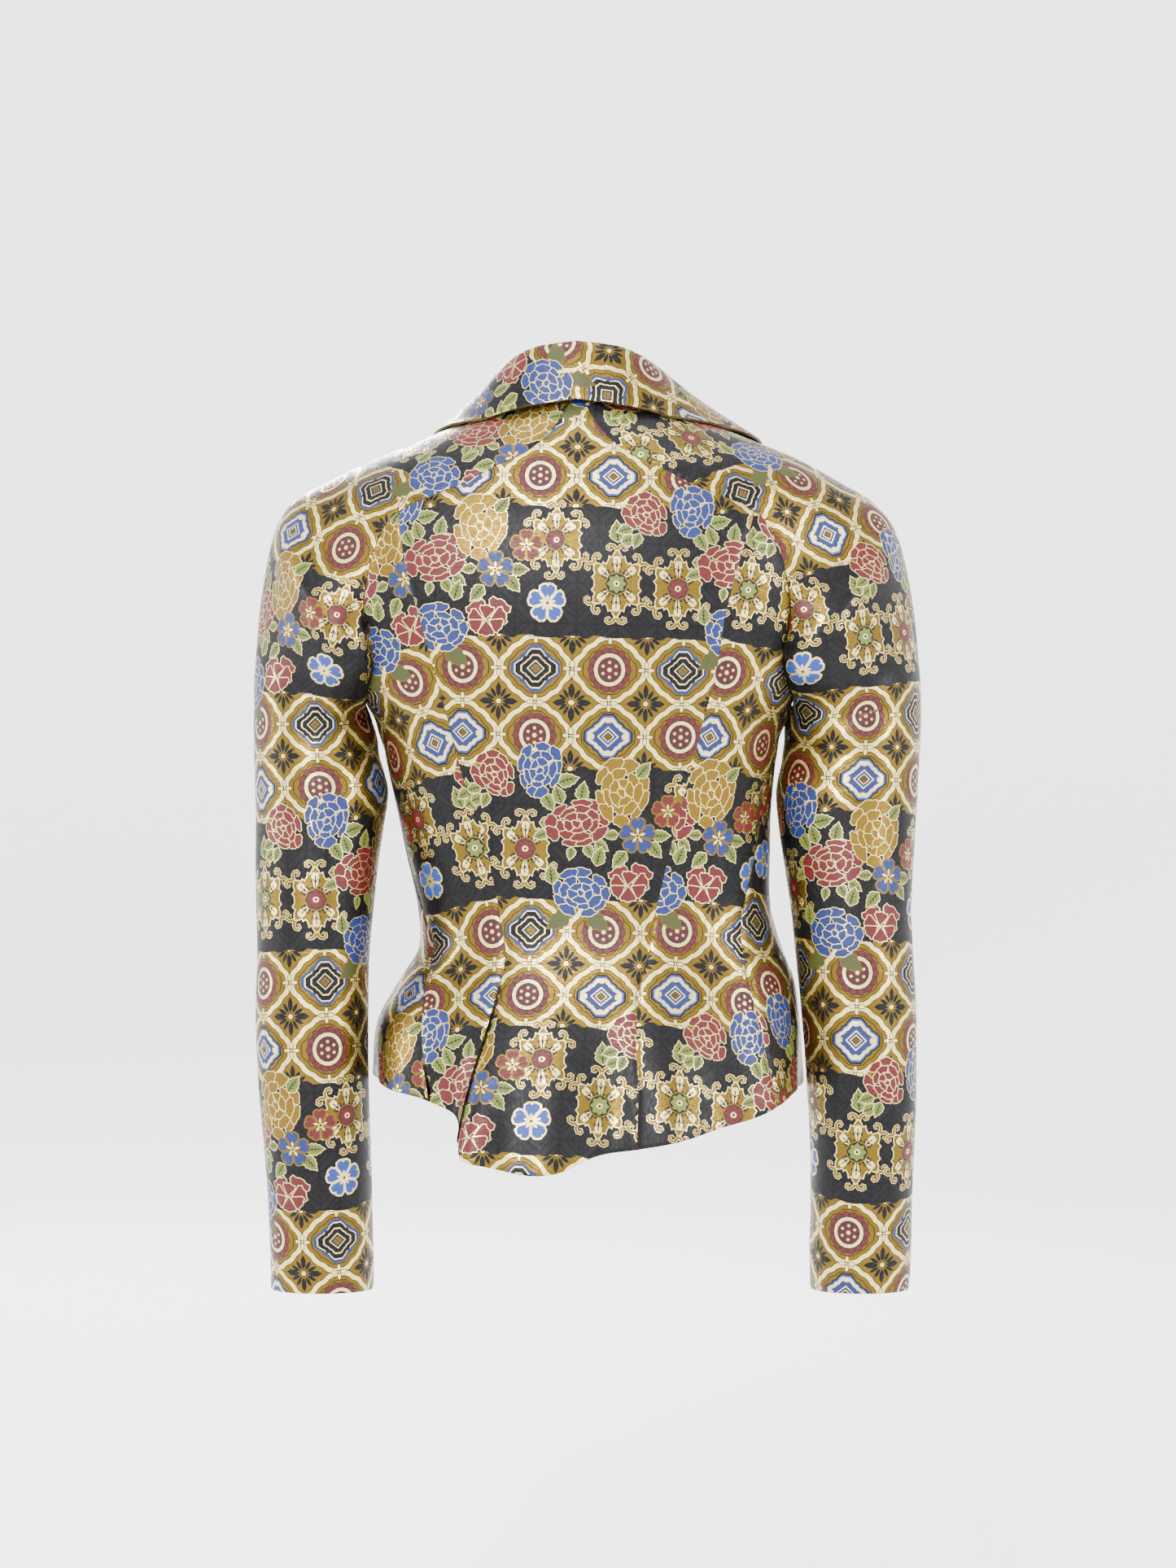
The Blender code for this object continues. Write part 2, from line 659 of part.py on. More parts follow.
def button(name, z, front):
    """A cloth-covered dome on the right front at the centre, square to the cloth; front is its tree."""
    centre = body(-180.0, float(z), lap(-180.0, -1))
    out = body_away(np.array(-180.0), np.array(float(z)), -1)
    across = np.array([1.0, 0.0, 0.0])
    up = np.cross(across, out)
    turns = [2 * math.pi * k / BUTTON_SEGMENTS for k in range(BUTTON_SEGMENTS)]
    circle = [across * math.cos(a) + up * math.sin(a) for a in turns]
    above = centre + out * BUTTON_RISE
    falls = [front.ray_cast(Vector(above + BUTTON_RADIUS * p), Vector(-out))[3] for p in circle]
    falls.append(front.ray_cast(Vector(above), Vector(-out))[3])
    seat = above + out * (BUTTON_CLEAR - min(falls))
    rings = [(BUTTON_RADIUS, 0.0)]
    for k in range(BUTTON_RINGS):
        climb = math.radians(BUTTON_STEEPEST * k / (BUTTON_RINGS - 1))
        rise = BUTTON_RISE * (BUTTON_SIDE + (1 - BUTTON_SIDE) * math.sin(climb))
        rings.append((BUTTON_RADIUS * math.cos(climb), rise))
    bm = bmesh.new()
    loops = []
    for radius, rise in rings:
        loops.append([bm.verts.new(seat + out * rise + radius * p) for p in circle])
    for low, high in zip(loops, loops[1:]):
        for k in range(BUTTON_SEGMENTS):
            n = (k + 1) % BUTTON_SEGMENTS
            bm.faces.new((low[k], low[n], high[n], high[k]))
    bm.faces.new(loops[0])
    bm.faces.new(loops[-1])
    return add_object(name, bm, "covered_button")


def places(first, last, side, half):
    return [(side, half, row) for row in stations(first, last)]


def main():
    for thing in list(bpy.data.objects):
        bpy.data.objects.remove(thing, do_unlink=True)
    back_top = places(PRINCESS_BACK_AT, 0, -1, "back") + places(0, PRINCESS_BACK_AT, 1, "back")
    body_piece("back_centre", back_centre_grid(), "brocade_gold", back_top)
    for side, name in ((1, "left"), (-1, "right")):
        back_side_top = places(PRINCESS_BACK_AT, 1, side, "back")[:-1]
        front_side_top = [None] + places(1, PRINCESS_FRONT_AT, side, "front")[1:]
        front_top = places(PRINCESS_FRONT_AT, 0, side, "front")
        body_piece("back_side_" + name, back_side_grid(side), "brocade_black", back_side_top)
        body_piece("front_side_" + name, front_side_grid(side), "brocade_gold", front_side_top)
        body_piece("front_" + name, front_grid(side), "brocade_black", front_top, side)
        for half in ("back", "front"):
            grid = sleeve_grid(side, half)
            away = sleeve_away(side, half, grid)
            cloth_piece("sleeve_%s_%s" % (half, name), grid, away, "brocade_gold")
    fall = fall_grid()
    cloth_piece("collar_fall", fall, grid_away(fall, NECK_MIDDLE), "brocade_black")
    stand = stand_grid()
    cloth_piece("collar_stand", stand, grid_away(stand, NECK_MIDDLE), "brocade_gold")
    front = search_tree([on_body(front_grid(-1), -1)])
    for k, z in enumerate(BUTTON_HEIGHTS):
        button("button_%d" % (k + 1), z, front)


main()
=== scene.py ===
"""Evening jacket in figured brocade, dressed over its solids, as an add-on run as a script.

World frame in metres: +Z up, the wearer faces -Y, +X is the wearer's left. Shape tables are in
millimetres and degrees, and so is the cloth's pattern. An angle is measured round the body from the
centre back (0) over the wearer's left side (90) to the centre front (180), negative on the right.
"""
import functools
import math

import bmesh
import bpy
import numpy as np
from bpy.props import FloatProperty, FloatVectorProperty, PointerProperty
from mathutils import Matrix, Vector
from mathutils.bvhtree import BVHTree
from mathutils.geometry import delaunay_2d_cdt


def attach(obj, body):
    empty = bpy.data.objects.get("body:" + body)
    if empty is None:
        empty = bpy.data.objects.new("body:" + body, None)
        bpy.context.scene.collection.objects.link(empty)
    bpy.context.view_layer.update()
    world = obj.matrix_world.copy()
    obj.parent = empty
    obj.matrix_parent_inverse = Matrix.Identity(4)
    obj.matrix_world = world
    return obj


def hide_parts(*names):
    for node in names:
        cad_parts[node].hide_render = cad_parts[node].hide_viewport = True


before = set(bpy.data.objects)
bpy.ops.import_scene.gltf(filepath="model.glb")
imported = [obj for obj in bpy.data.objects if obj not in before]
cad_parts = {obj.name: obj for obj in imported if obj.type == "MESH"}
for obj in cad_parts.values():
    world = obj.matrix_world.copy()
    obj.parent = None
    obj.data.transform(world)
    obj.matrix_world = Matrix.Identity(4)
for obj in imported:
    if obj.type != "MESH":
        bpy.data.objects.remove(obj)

bl_info = {
    "name": "Evening jacket",
    "version": (1, 0, 0),
    "blender": (4, 5, 0),
    "location": "View3D > Sidebar > Jacket",
    "description": "Cuts, weaves and sews a figured brocade evening jacket",
    "category": "Object",
}


MM = 0.001
WALL = 1.8 * MM  # brocade with its interlining
SEAM_GAP = 0.3 * MM  # between two pieces sewn to each other
SQUARE = 2.5  # power of the rounded body section: 2 is an ellipse

# Body sections: half width, sideways place of the middle, and depth to the back and to the front.
BODY_COLUMNS = ("z", "half_width", "middle_x", "back", "front")
BODY_ROWS = (
    (40, 160, 8, 44, 50),
    (0, 172, 8, 60, 62),
    (-50, 184, 8, 88, 80),
    (-100, 190, 8, 107, 98),
    (-150, 188, 8, 113, 116),
    (-200, 170, 7, 110, 132),
    (-235, 151, 6, 105, 138),
    (-283, 140, 4, 96, 135),
    (-330, 134, 0, 89, 122),
    (-373, 130, -5, 86, 110),
    (-401, 134, -9, 90, 107),
    (-421, 144, -7, 97, 110),
    (-450, 155, -1, 110, 118),
    (-500, 159, 0, 127, 130),
    (-550, 163, 0, 140, 138),
    (-620, 168, 0, 154, 146),
)

# Flutes of the peplum: angle of the crest or valley, its spread to either side, how far it stands out
# at the hem, how far the cloth there swings sideways, and the height where it starts.
FLUTE_COLUMNS = ("angle", "spread_down", "spread_up", "out", "swing", "start")
FLUTE_ROWS = (
    (-152, 11, 11, 6, 0, -400),
    (-130, 9, 9, -4, 0, -400),
    (-108, 11, 11, 7, 0, -400),
    (-82, 9, 9, -6, 0, -410),
    (-56, 9, 9, 6, 0, -410),
    (-40, 7, 7, -4, 0, -410),
    (-24, 8, 8, 6, 0, -420),
    (-7, 8, 8, -6, 0, -420),
    (13, 9, 9, 7, 0, -420),
    (30, 7, 6, 16, 1, -440),
    (42, 5, 7, -8, 0, -430),
    (60, 8, 8, 5, 0, -410),
    (82, 9, 9, -6, 0, -410),
    (108, 11, 11, 7, 0, -400),
    (130, 9, 9, -4, 0, -400),
    (152, 11, 11, 6, 0, -400),
)
FLUTE_FULL = -540  # height where the flutes have their full depth

# Hem: its height at each angle. The step at 36 degrees is the deep fold beside the left back seam.
HEM_COLUMNS = ("angle", "z")
HEM_ROWS = (
    (-195, -508),
    (-180, -508),
    (-120, -500),
    (-90, -502),
    (-64, -505),
    (-46, -520),
    (-28, -531),
    (-14, -538),
    (-2, -543),
    (9, -554),
    (17, -555),
    (26, -549),
    (33, -542),
    (39, -520),
    (47, -508),
    (63, -499),
    (90, -496),
    (120, -498),
    (180, -508),
    (195, -508),
)

# Seams down the body, as angles.
SEAM_COLUMNS = ("z", "princess_left", "princess_right", "side_left", "side_right", "princess_front")
SEAM_ROWS = (
    (-84, 56.4, -56.4, 90, -90, 118),
    (-127, 52.0, -49.5, 90, -90, 123),
    (-160, 49.0, -46.4, 90, -90, 128),
    (-200, 47.0, -45.3, 90, -90, 133),
    (-240, 46.0, -43.4, 90, -88, 136),
    (-280, 45.0, -41.0, 86, -75, 137),
    (-320, 42.0, -36.0, 83, -70, 138),
    (-360, 41.5, -30.0, 79, -64, 140),
    (-390, 40.5, -23.5, 71, -58, 140),
    (-420, 37.5, -18.0, 64, -56, 138),
    (-450, 34.5, -17.0, 56, -56, 136),
    (-490, 35.0, -16.0, 50, -56, 134),
    (-570, 36.0, -13.0, 46, -56, 132),
)

# Raglan part of a sleeve, from the neck (0) to the underarm (1): the back seam and the front seam on
# the body, the seam over the shoulder between them, and how full the section is, as a share of the
# distance between its seams.
YOKE_COLUMNS = (
    "station", "back_z", "back_angle", "over_left", "over_right", "over_z", "front_z", "front_angle",
    "fullness",
)
YOKE_ROWS = (
    (0.0, -1, 4, 68, -56, -3, -38, 141, 0.38),
    (0.1, -12, 8.5, 88, -82, -12, -45, 137, 0.38),
    (0.2, -27, 15, 109, -106, -21, -53, 132, 0.38),
    (0.3, -42, 24, 129, -128, -30, -62, 127, 0.38),
    (0.4, -52, 34, 149, -148, -38, -72, 122, 0.38),
    (0.5, -66, 43.5, 172, -168, -48, -84, 118, 0.38),
    (0.6, -84, 56.4, 196, -189, -60, -98, 115, 0.38),
    (0.7, -106, 60, 217, -209, -72, -118, 112.5, 0.38),
    (0.8, -150, 63, 231, -227, -95, -150, 110.5, 0.38),
    (0.9, -200, 66, 241, -239, -145, -195, 107, 0.42),
    (1.0, -235, 90, 246, -245, -205, -235, 90, 0.78),
)
LEAVE_FROM = 0.62  # from this station on, the sleeve turns from the body's own slope to front and back
LEAVE_SPLAY = 0.12  # share of that turn that goes outwards
LEAVE_STEP = 1.5  # degrees over which the body's own slope is read
PRINCESS_BACK_AT = 0.6  # station where the back princess seam meets the raglan seam
PRINCESS_FRONT_AT = 0.5
RAGLAN_SPANS = (24, 3, 24)  # spans from the neck to the front princess seam, the back one, the underarm

# Arm part of a sleeve: inner and outer edge, middle and half of the depth, and how much higher the
# outer edge of the same ring is.
ARM_COLUMNS = (
    "z", "inner_left", "outer_left", "inner_right", "outer_right", "middle_y", "half_depth", "tilt",
)
ARM_ROWS = (
    (-235, 157.0, 246, -145.0, -245, 0, 54, 30),
    (-262, 152.5, 246, -142.5, -245, 3, 54, 20),
    (-285, 147.0, 245, -138.5, -243, 6, 53, 10),
    (-310, 150.0, 244, -140.0, -241, 9, 51, 4),
    (-335, 153.5, 244, -143.5, -239, 12, 50, 0),
    (-370, 157.0, 243, -148.5, -237, 17, 48, 0),
    (-405, 160.0, 242, -152.0, -238, 21, 46, 0),
    (-441, 160.5, 243, -155.5, -240, 24, 44, 0),
    (-478, 160.5, 242, -158.5, -240, 25, 43, 0),
    (-515, 160.0, 240, -161.0, -240, 22, 42, 0),
    (-551, 159.0, 237, -163.0, -239, 16, 41, 0),
    (-588, 158.5, 235, -163.5, -238, 9, 40, 0),
    (-625, 158.0, 234, -163.0, -238, 2, 39, 0),
    (-652, 158.0, 234, -164.0, -237, -4, 39, 0),
)

BOW = 4 / 3  # length of a cubic curve's handles over the height of its arch

# Front neckline, from the raglan seam down to where the fronts cross.
NECKLINE_COLUMNS = ("along", "z", "angle")
NECKLINE_ROWS = (
    (0.0, -38, 141),
    (0.25, -75, 152),
    (0.5, -112, 161),
    (0.75, -160, 171),
    (1.0, -212, 186),
)
OVERLAP_ANGLE = 6  # each front runs this far past the centre front
LAP_FROM, LAP_TO = 158, 170  # the right front rises over the left one between these angles

# Collar, from the centre back (0) to the break at the centre front (8): where it rolls over and its
# free edge.
COLLAR_COLUMNS = (
    "station", "roll_left", "roll_right", "roll_y", "roll_z", "edge_left", "edge_right", "edge_y", "edge_z",
)
COLLAR_ROWS = (
    (0, 8, 8, 50, 40, 8, 8, 69, -2),
    (1, 38, -24, 44, 36, 49, -35, 65, -8),
    (2, 58, -45, 24, 27, 84, -76, 42, -17),
    (3, 66, -56, -4, 17, 108, -113, 6, -20),
    (4, 70, -62, -34, 4, 120, -131, -34, -28),
    (5, 69, -59, -68, -22, 120, -124, -72, -56),
    (6, 55, -42, -96, -75, 100, -96, -99, -110),
    (7, 30, -18, -125, -140, 62, -54, -131, -168),
    (8, 8, 2, -146, -200, 18, -10, -148, -214),
)
STAND_END = 4.8  # the stand tapers out here, where the roll meets the front's own edge
LIE_CLEAR = WALL + 1.4 * MM  # from the collar's outer face to the cloth that it lies on
LIE_REACH = 30 * MM
LIE_TRIES = 6
BODY_MIDDLE = (0.008, 0.0, -0.15)  # in metres, inside the cloth
NECK_MIDDLE = (0.008, 0.01, 0.0)
FALL_SHARES = (0.3, 0.35)  # of the drop, for the handles of the outer leaf's curve
FALL_ROUND = 7 * MM  # how wide the leaf rolls at most
FALL_LIFT = 2 * MM
STAND_INSET = 2 * SEAM_GAP  # of the stand's foot inside the neck seam, and twice that at the roll

BUTTON_HEIGHTS = (-232, -302, -372)
BUTTON_RADIUS = 9 * MM
BUTTON_RISE = 4.5 * MM
BUTTON_CLEAR = 0.15 * MM  # between the button's rim and the cloth at their nearest
BUTTON_SIDE = 0.25  # share of the rise that is the upright side
BUTTON_SEGMENTS = 16  # points round its rim that are held off the cloth

# Fineness of the grids. Pieces sewn to each other have the same points along their seam.
BODY_SPANS = 88
SLEEVE_SPANS = 24
ARM_SPANS = 60
COLLAR_SPANS = (144, 24)
STAND_SPANS = (102, 10)


def bends(xs, ys, x):
    """The value at x of a smooth curve through the rows (xs, ys), level past its ends."""
    xs, ys = np.asarray(xs, float), np.asarray(ys, float)
    if xs[0] > xs[-1]:
        xs, ys = xs[::-1], ys[::-1]
    x = np.clip(np.asarray(x, float), xs[0], xs[-1])
    step = np.diff(xs)
    rise = np.diff(ys) / step
    slope = np.empty_like(ys)
    slope[1:-1] = (rise[:-1] * step[1:] + rise[1:] * step[:-1]) / (step[:-1] + step[1:])
    slope[0], slope[-1] = rise[0], rise[-1]
    i = np.clip(np.searchsorted(xs, x, side="right") - 1, 0, len(step) - 1)
    t = (x - xs[i]) / step[i]
    start = (1 + 2 * t) * (1 - t) ** 2 * ys[i] + t * (1 - t) ** 2 * step[i] * slope[i]
    end = t * t * (3 - 2 * t) * ys[i + 1] + t * t * (t - 1) * step[i] * slope[i + 1]
    return start + end


def read(columns, rows, name, at):
    """Column name of a table at the values at of its first column."""
    k = columns.index(name)
    return bends([row[0] for row in rows], [row[k] for row in rows], at)


def ease(t):
    """Rises smoothly from 0 to 1 as t does."""
    t = np.clip(t, 0.0, 1.0)
    return t * t * (3 - 2 * t)


def unit(v):
    """The same directions with length 1."""
    return v / np.maximum(np.linalg.norm(v, axis=-1, keepdims=True), 1e-12)


def body(angle, z, lift=0.0):
    """Points of the body's outer form at angles and heights in table units, raised by lift in mm."""
    angle, z = np.broadcast_arrays(np.asarray(angle, float), np.asarray(z, float))
    out = np.zeros(angle.shape) + lift
    swing = np.zeros(angle.shape)
    for row in FLUTE_ROWS:
        flute = dict(zip(FLUTE_COLUMNS, row))
        away = (angle - flute["angle"] + 180) % 360 - 180
        width = np.where(away < 0, flute["spread_down"], flute["spread_up"])
        depth = ease((flute["start"] - z) / (flute["start"] - FLUTE_FULL))
        bell = np.exp(-((away / width) ** 2)) * depth
        out += flute["out"] * bell
        swing += flute["swing"] * bell
    turn = np.radians(angle + swing)
    side, back = np.sin(turn), np.cos(turn)
    width = read(BODY_COLUMNS, BODY_ROWS, "half_width", z)
    depth = np.where(
        back >= 0, read(BODY_COLUMNS, BODY_ROWS, "back", z), read(BODY_COLUMNS, BODY_ROWS, "front", z)
    )
    reach = (np.abs(side / width) ** SQUARE + np.abs(back / depth) ** SQUARE) ** (-1 / SQUARE) + out
    middle = read(BODY_COLUMNS, BODY_ROWS, "middle_x", z)
    return np.stack([middle + reach * side, reach * back, z], -1) * MM


def seam(name, z):
    """The angle in degrees of a body seam at height z in mm."""
    return read(SEAM_COLUMNS, SEAM_ROWS, name, z)


def hem(angle):
    """The hem's height in mm at an angle round the body."""
    return read(HEM_COLUMNS, HEM_ROWS, "z", angle)


def yoke(name, station):
    """One column of the raglan seam's table at a station."""
    return read(YOKE_COLUMNS, YOKE_ROWS, name, station)


def hem_point(seam_name, sign=1):
    """Angle and height where a seam reaches the hem."""
    z = -520.0
    for _ in range(30):
        angle = sign * float(seam(seam_name, z))
        z = float(hem(angle))
    return angle, z


def spread(points, count):
    """Resamples a polyline of (angle, z) rows to count + 1 points at even steps on the body."""
    places = body(points[:, 0], points[:, 1])
    run = np.concatenate([[0], np.cumsum(np.linalg.norm(np.diff(places, axis=0), axis=1))])
    at = np.linspace(0, run[-1], count + 1)
    return np.stack([np.interp(at, run, points[:, k]) for k in range(2)], -1)


def coons(low, high, first, last):
    """Fills a four-sided patch of (angle, z) from its bottom, top, and two side edges."""
    across = np.linspace(0, 1, len(low))[:, None, None]
    along = np.linspace(0, 1, len(first))[None, :, None]
    sides = first[None] * (1 - across) + last[None] * across
    ends = low[:, None] * (1 - along) + high[:, None] * along
    corners = (low[0] * (1 - across) + low[-1] * across) * (1 - along)
    corners = corners + (high[0] * (1 - across) + high[-1] * across) * along
    return sides + ends - corners


def raglan(station, side, half):
    """(angle, z) rows of a raglan seam at the given stations; side is 1 for left, half back or front."""
    return np.stack([side * yoke(half + "_angle", station), yoke(half + "_z", station)], -1)


def down(seam_name, top_z, low, sign=1):
    """(angle, z) rows of a seam from the hem point low up to height top_z."""
    z = np.linspace(low[1], top_z, 80)
    return np.stack([sign * seam(seam_name, z), z], -1)


def along_hem(first, last):
    """Points (angle, z) along the hem, from one angle to another."""
    angle = np.linspace(first, last, 90)
    return np.stack([angle, hem(angle)], -1)


def stations(first, last):
    """The raglan seam's stations, from first to last, that the pieces on both its sides share."""
    near, middle, far = RAGLAN_SPANS
    rows = np.concatenate([
        np.linspace(0, PRINCESS_FRONT_AT, near + 1),
        np.linspace(PRINCESS_FRONT_AT, PRINCESS_BACK_AT, middle + 1)[1:],
        np.linspace(PRINCESS_BACK_AT, 1, far + 1)[1:],
    ])
    low, high = sorted((first, last))
    rows = rows[(rows > low - 1e-6) & (rows < high + 1e-6)]
    return rows if first < last else rows[::-1]


def body_patch(first, last, top):
    """Grid of (angle, z) between two side edges, each given from the hem up, and a top edge."""
    low = spread(along_hem(first[0, 0], last[0, 0]), len(top) - 1)
    return coons(low, top, spread(first, BODY_SPANS), spread(last, BODY_SPANS))


def back_centre_grid():
    """Grid of (angle, z) of the centre back."""
    rows = stations(0, PRINCESS_BACK_AT)
    left_top, right_top = raglan(rows, 1, "back"), raglan(rows, -1, "back")
    top = np.concatenate([right_top[::-1], left_top])
    first = down("princess_right", right_top[-1, 1], hem_point("princess_right"))
    last = down("princess_left", left_top[-1, 1], hem_point("princess_left"))
    first[-1], last[-1] = right_top[-1], left_top[-1]
    return body_patch(first, last, top)


def back_side_grid(side):
    """Grid of (angle, z) of a side back."""
    name = "left" if side > 0 else "right"
    top = raglan(stations(PRINCESS_BACK_AT, 1), side, "back")
    first = down("princess_" + name, top[0, 1], hem_point("princess_" + name))
    last = down("side_" + name, top[-1, 1], hem_point("side_" + name))
    first[-1], last[-1] = top[0], top[-1]
    return body_patch(first, last, top)


def front_side_grid(side):
    """Grid of (angle, z) of a side front."""
    name = "left" if side > 0 else "right"
    top = raglan(stations(1, PRINCESS_FRONT_AT), side, "front")
    first = down("side_" + name, top[0, 1], hem_point("side_" + name))
    last = down("princess_front", top[-1, 1], hem_point("princess_front", side), side)
    first[-1], last[-1] = top[0], top[-1]
    return body_patch(first, last, top)


def neckline(along, side):
    """Points (angle, z) of a front's neckline."""
    angle = read(NECKLINE_COLUMNS, NECKLINE_ROWS, "angle", along)
    return np.stack([side * angle, read(NECKLINE_COLUMNS, NECKLINE_ROWS, "z", along)], -1)


def front_grid(side):
    """Front from the princess seam to its own edge past the centre; the neckline is part of that edge."""
    top = raglan(stations(PRINCESS_FRONT_AT, 0), side, "front")
    first = down("princess_front", top[0, 1], hem_point("princess_front", side), side)
    first[-1] = top[0]
    edge_angle = side * (180 + OVERLAP_ANGLE)
    neck = neckline(np.linspace(1, 0, 60), side)
    edge_z = np.linspace(float(hem(edge_angle)), neck[0, 1], 40)[:-1]
    edge = np.stack([np.full(len(edge_z), float(edge_angle)), edge_z], -1)
    return body_patch(first, np.concatenate([edge, neck]), top)


def lap(angle, side):
    """How far the right front stands over the left one, in mm; 0 on every other piece."""
    over = (WALL + 2 * SEAM_GAP) / MM
    return over * ease((side * angle - LAP_FROM) / (LAP_TO - LAP_FROM)) * (side < 0)


def body_away(angle, z, side=1):
    """Outward direction of the body's form, from steps of half a degree and half a millimetre."""
    step = 0.5
    after, before = angle + step, angle - step
    round_it = body(after, z, lap(after, side)) - body(before, z, lap(before, side))
    up_it = body(angle, z + step, lap(angle, side)) - body(angle, z - step, lap(angle, side))
    return unit(np.cross(up_it, round_it))


def bezier(first, lean_first, lean_last, last, t):
    """Points at t of the cubic curve from first to last with its two handles."""
    t = t[:, None]
    start = (1 - t) ** 3 * first + 3 * t * (1 - t) ** 2 * lean_first
    return start + 3 * t * t * (1 - t) * lean_last + t**3 * last


def half_way(half):
    """The back half of a sleeve bows to +Y, and the front half to -Y."""
    return np.array([0.0, 1.0 if half == "back" else -1.0, 0.0])


def seam_lean(side, half, row):
    """Direction in which the sleeve leaves its raglan seam at a station."""
    angle, z = raglan(np.array(row), side, half)
    onward = side * (LEAVE_STEP if half == "back" else -LEAVE_STEP)
    flow = unit(body(angle + onward, z) - body(angle, z))
    late = ease((row - LEAVE_FROM) / (1 - LEAVE_FROM))
    return unit(flow * (1 - late) + (half_way(half) + np.array([side * LEAVE_SPLAY, 0, 0])) * late)


def sleeve_section(side, half, row, t):
    """One section of a sleeve half, from its body seam or underarm seam (t 0) to the over-arm seam (1).

    row is a station of the yoke up to 1, and past 1 it is 1 plus the share of the arm's length.
    """
    name = "left" if side > 0 else "right"
    way = half_way(half)
    if row <= 1:
        angle, z = raglan(np.array(row), side, half)
        seam_point = body(angle, z)
        over = np.array([yoke("over_" + name, row), 0.0, yoke("over_z", row)]) * MM
        reach = np.linalg.norm(over - seam_point) * yoke("fullness", row)
        leave = seam_point + seam_lean(side, half, row) * reach
        return bezier(seam_point, leave, over + way * reach, over, t)
    z = ARM_ROWS[0][0] + (row - 1) * (ARM_ROWS[-1][0] - ARM_ROWS[0][0])
    value = {n: float(read(ARM_COLUMNS, ARM_ROWS, n, z)) for n in ARM_COLUMNS[1:]}
    inner = np.array([value["inner_" + name], value["middle_y"], z]) * MM
    outer = np.array([value["outer_" + name], value["middle_y"], z + value["tilt"]]) * MM
    bow = way * value["half_depth"] * MM * BOW
    return bezier(inner, inner + bow, outer + bow, outer, t)


def sleeve_grid(side, half):
    """Points of a sleeve half, from its seam on the body or arm to the one over the arm."""
    rows = np.concatenate([stations(0, 1), 1 + np.linspace(0, 1, ARM_SPANS + 1)[1:]])
    t = np.linspace(0, 1, SLEEVE_SPANS + 1)
    return np.stack([sleeve_section(side, half, row, t) for row in rows], 1)


def collar_line(kind, station):
    """Points of the roll or the free edge at signed stations: negative ones are on the right."""
    station = np.asarray(station, float)
    away = np.abs(station)
    left, right, y, z = (
        read(COLLAR_COLUMNS, COLLAR_ROWS, kind + end, away) for end in ("_left", "_right", "_y", "_z")
    )
    return np.stack([np.where(station >= 0, left, right), y, z], -1) * MM


def neck_edge(station):
    """Points of the neck seam at signed collar stations up to the raglan seam's front end."""
    points = []
    for s in np.atleast_1d(station):
        side = 1 if s >= 0 else -1
        share = abs(s) / STAND_END
        if share < 0.5:
            section = sleeve_section(side, "back", 0.0, np.array([share * 2]))
        else:
            section = sleeve_section(side, "front", 0.0, np.array([2 - share * 2]))
        points.append(section[0])
    return np.array(points)


def on_body(grid, side=1):
    """Points on the cloth's outer face for a grid of (angle, z)."""
    return body(grid[..., 0], grid[..., 1], lap(grid[..., 0], side))


def search_tree(grids):
    """A search tree of the faces of several grids of points."""
    points, faces = [], []
    for grid in grids:
        across, along = grid.shape[:2]
        first = len(points)
        points += grid.reshape(-1, 3).tolist()
        for i in range(across - 1):
            for j in range(along - 1):
                k = first + i * along + j
                faces.append((k, k + 1, k + along + 1, k + along))
    return BVHTree.FromPolygons(points, faces)


def cloth_under_collar():
    """A search tree of the outer faces that the collar lies on."""
    grids = [on_body(back_centre_grid())]
    for side in (1, -1):
        grids.append(on_body(front_grid(side), side))
        grids += [sleeve_grid(side, half) for half in ("back", "front")]
    return search_tree(grids)


def laid_on(grid, tree):
    """Lifts the collar's points that are too near the cloth under them, seen from the neck's middle."""
    out = grid.copy()
    for i in range(grid.shape[0]):
        for j in range(grid.shape[1]):
            for _ in range(LIE_TRIES):
                point = Vector(out[i, j])
                near, normal, _, away = tree.find_nearest(point)
                if near is None or away > LIE_REACH:
                    break
                if normal.dot(near - Vector(BODY_MIDDLE)) < 0:
                    normal = -normal
                short = LIE_CLEAR - (point - near).dot(normal)
                if short <= 0:
                    break
                out[i, j] += np.array(normal) * short
    return out


def fall_grid():
    """The collar's outer leaf, from the roll over and down to its free edge on the cloth."""
    end = COLLAR_ROWS[-1][0]
    station = np.linspace(-end, end, COLLAR_SPANS[0] + 1)
    roll = collar_line("roll", station) + np.array([0, 0, WALL + SEAM_GAP])
    edge = collar_line("edge", station)
    outward = edge - roll
    outward[:, 2] = 0
    outward = unit(outward)
    drop = np.linalg.norm(edge - roll, axis=1, keepdims=True)
    t = np.linspace(0, 1, COLLAR_SPANS[1] + 1)
    lean = roll + outward * np.minimum(drop * FALL_SHARES[0], FALL_ROUND)
    low = edge + (roll - edge) * FALL_SHARES[1] + np.array([0, 0, FALL_LIFT])
    rows = [bezier(roll[i], lean[i], low[i], edge[i], t) for i in range(len(station))]
    return laid_on(np.stack(rows, 0), cloth_under_collar())


def stand_grid():
    """The collar's inner leaf, from the neck seam up to the roll."""
    station = np.linspace(-STAND_END, STAND_END, STAND_SPANS[0] + 1)
    base = neck_edge(station)
    inward = unit(np.array(NECK_MIDDLE) - base) * np.array([1, 1, 0])
    base = base + inward * STAND_INSET
    roll = collar_line("roll", station) + inward * 2 * STAND_INSET - np.array([0, 0, 3 * SEAM_GAP])
    t = np.linspace(0, 1, STAND_SPANS[1] + 1)[None, :, None]
    return base[:, None] * (1 - t) + roll[:, None] * t


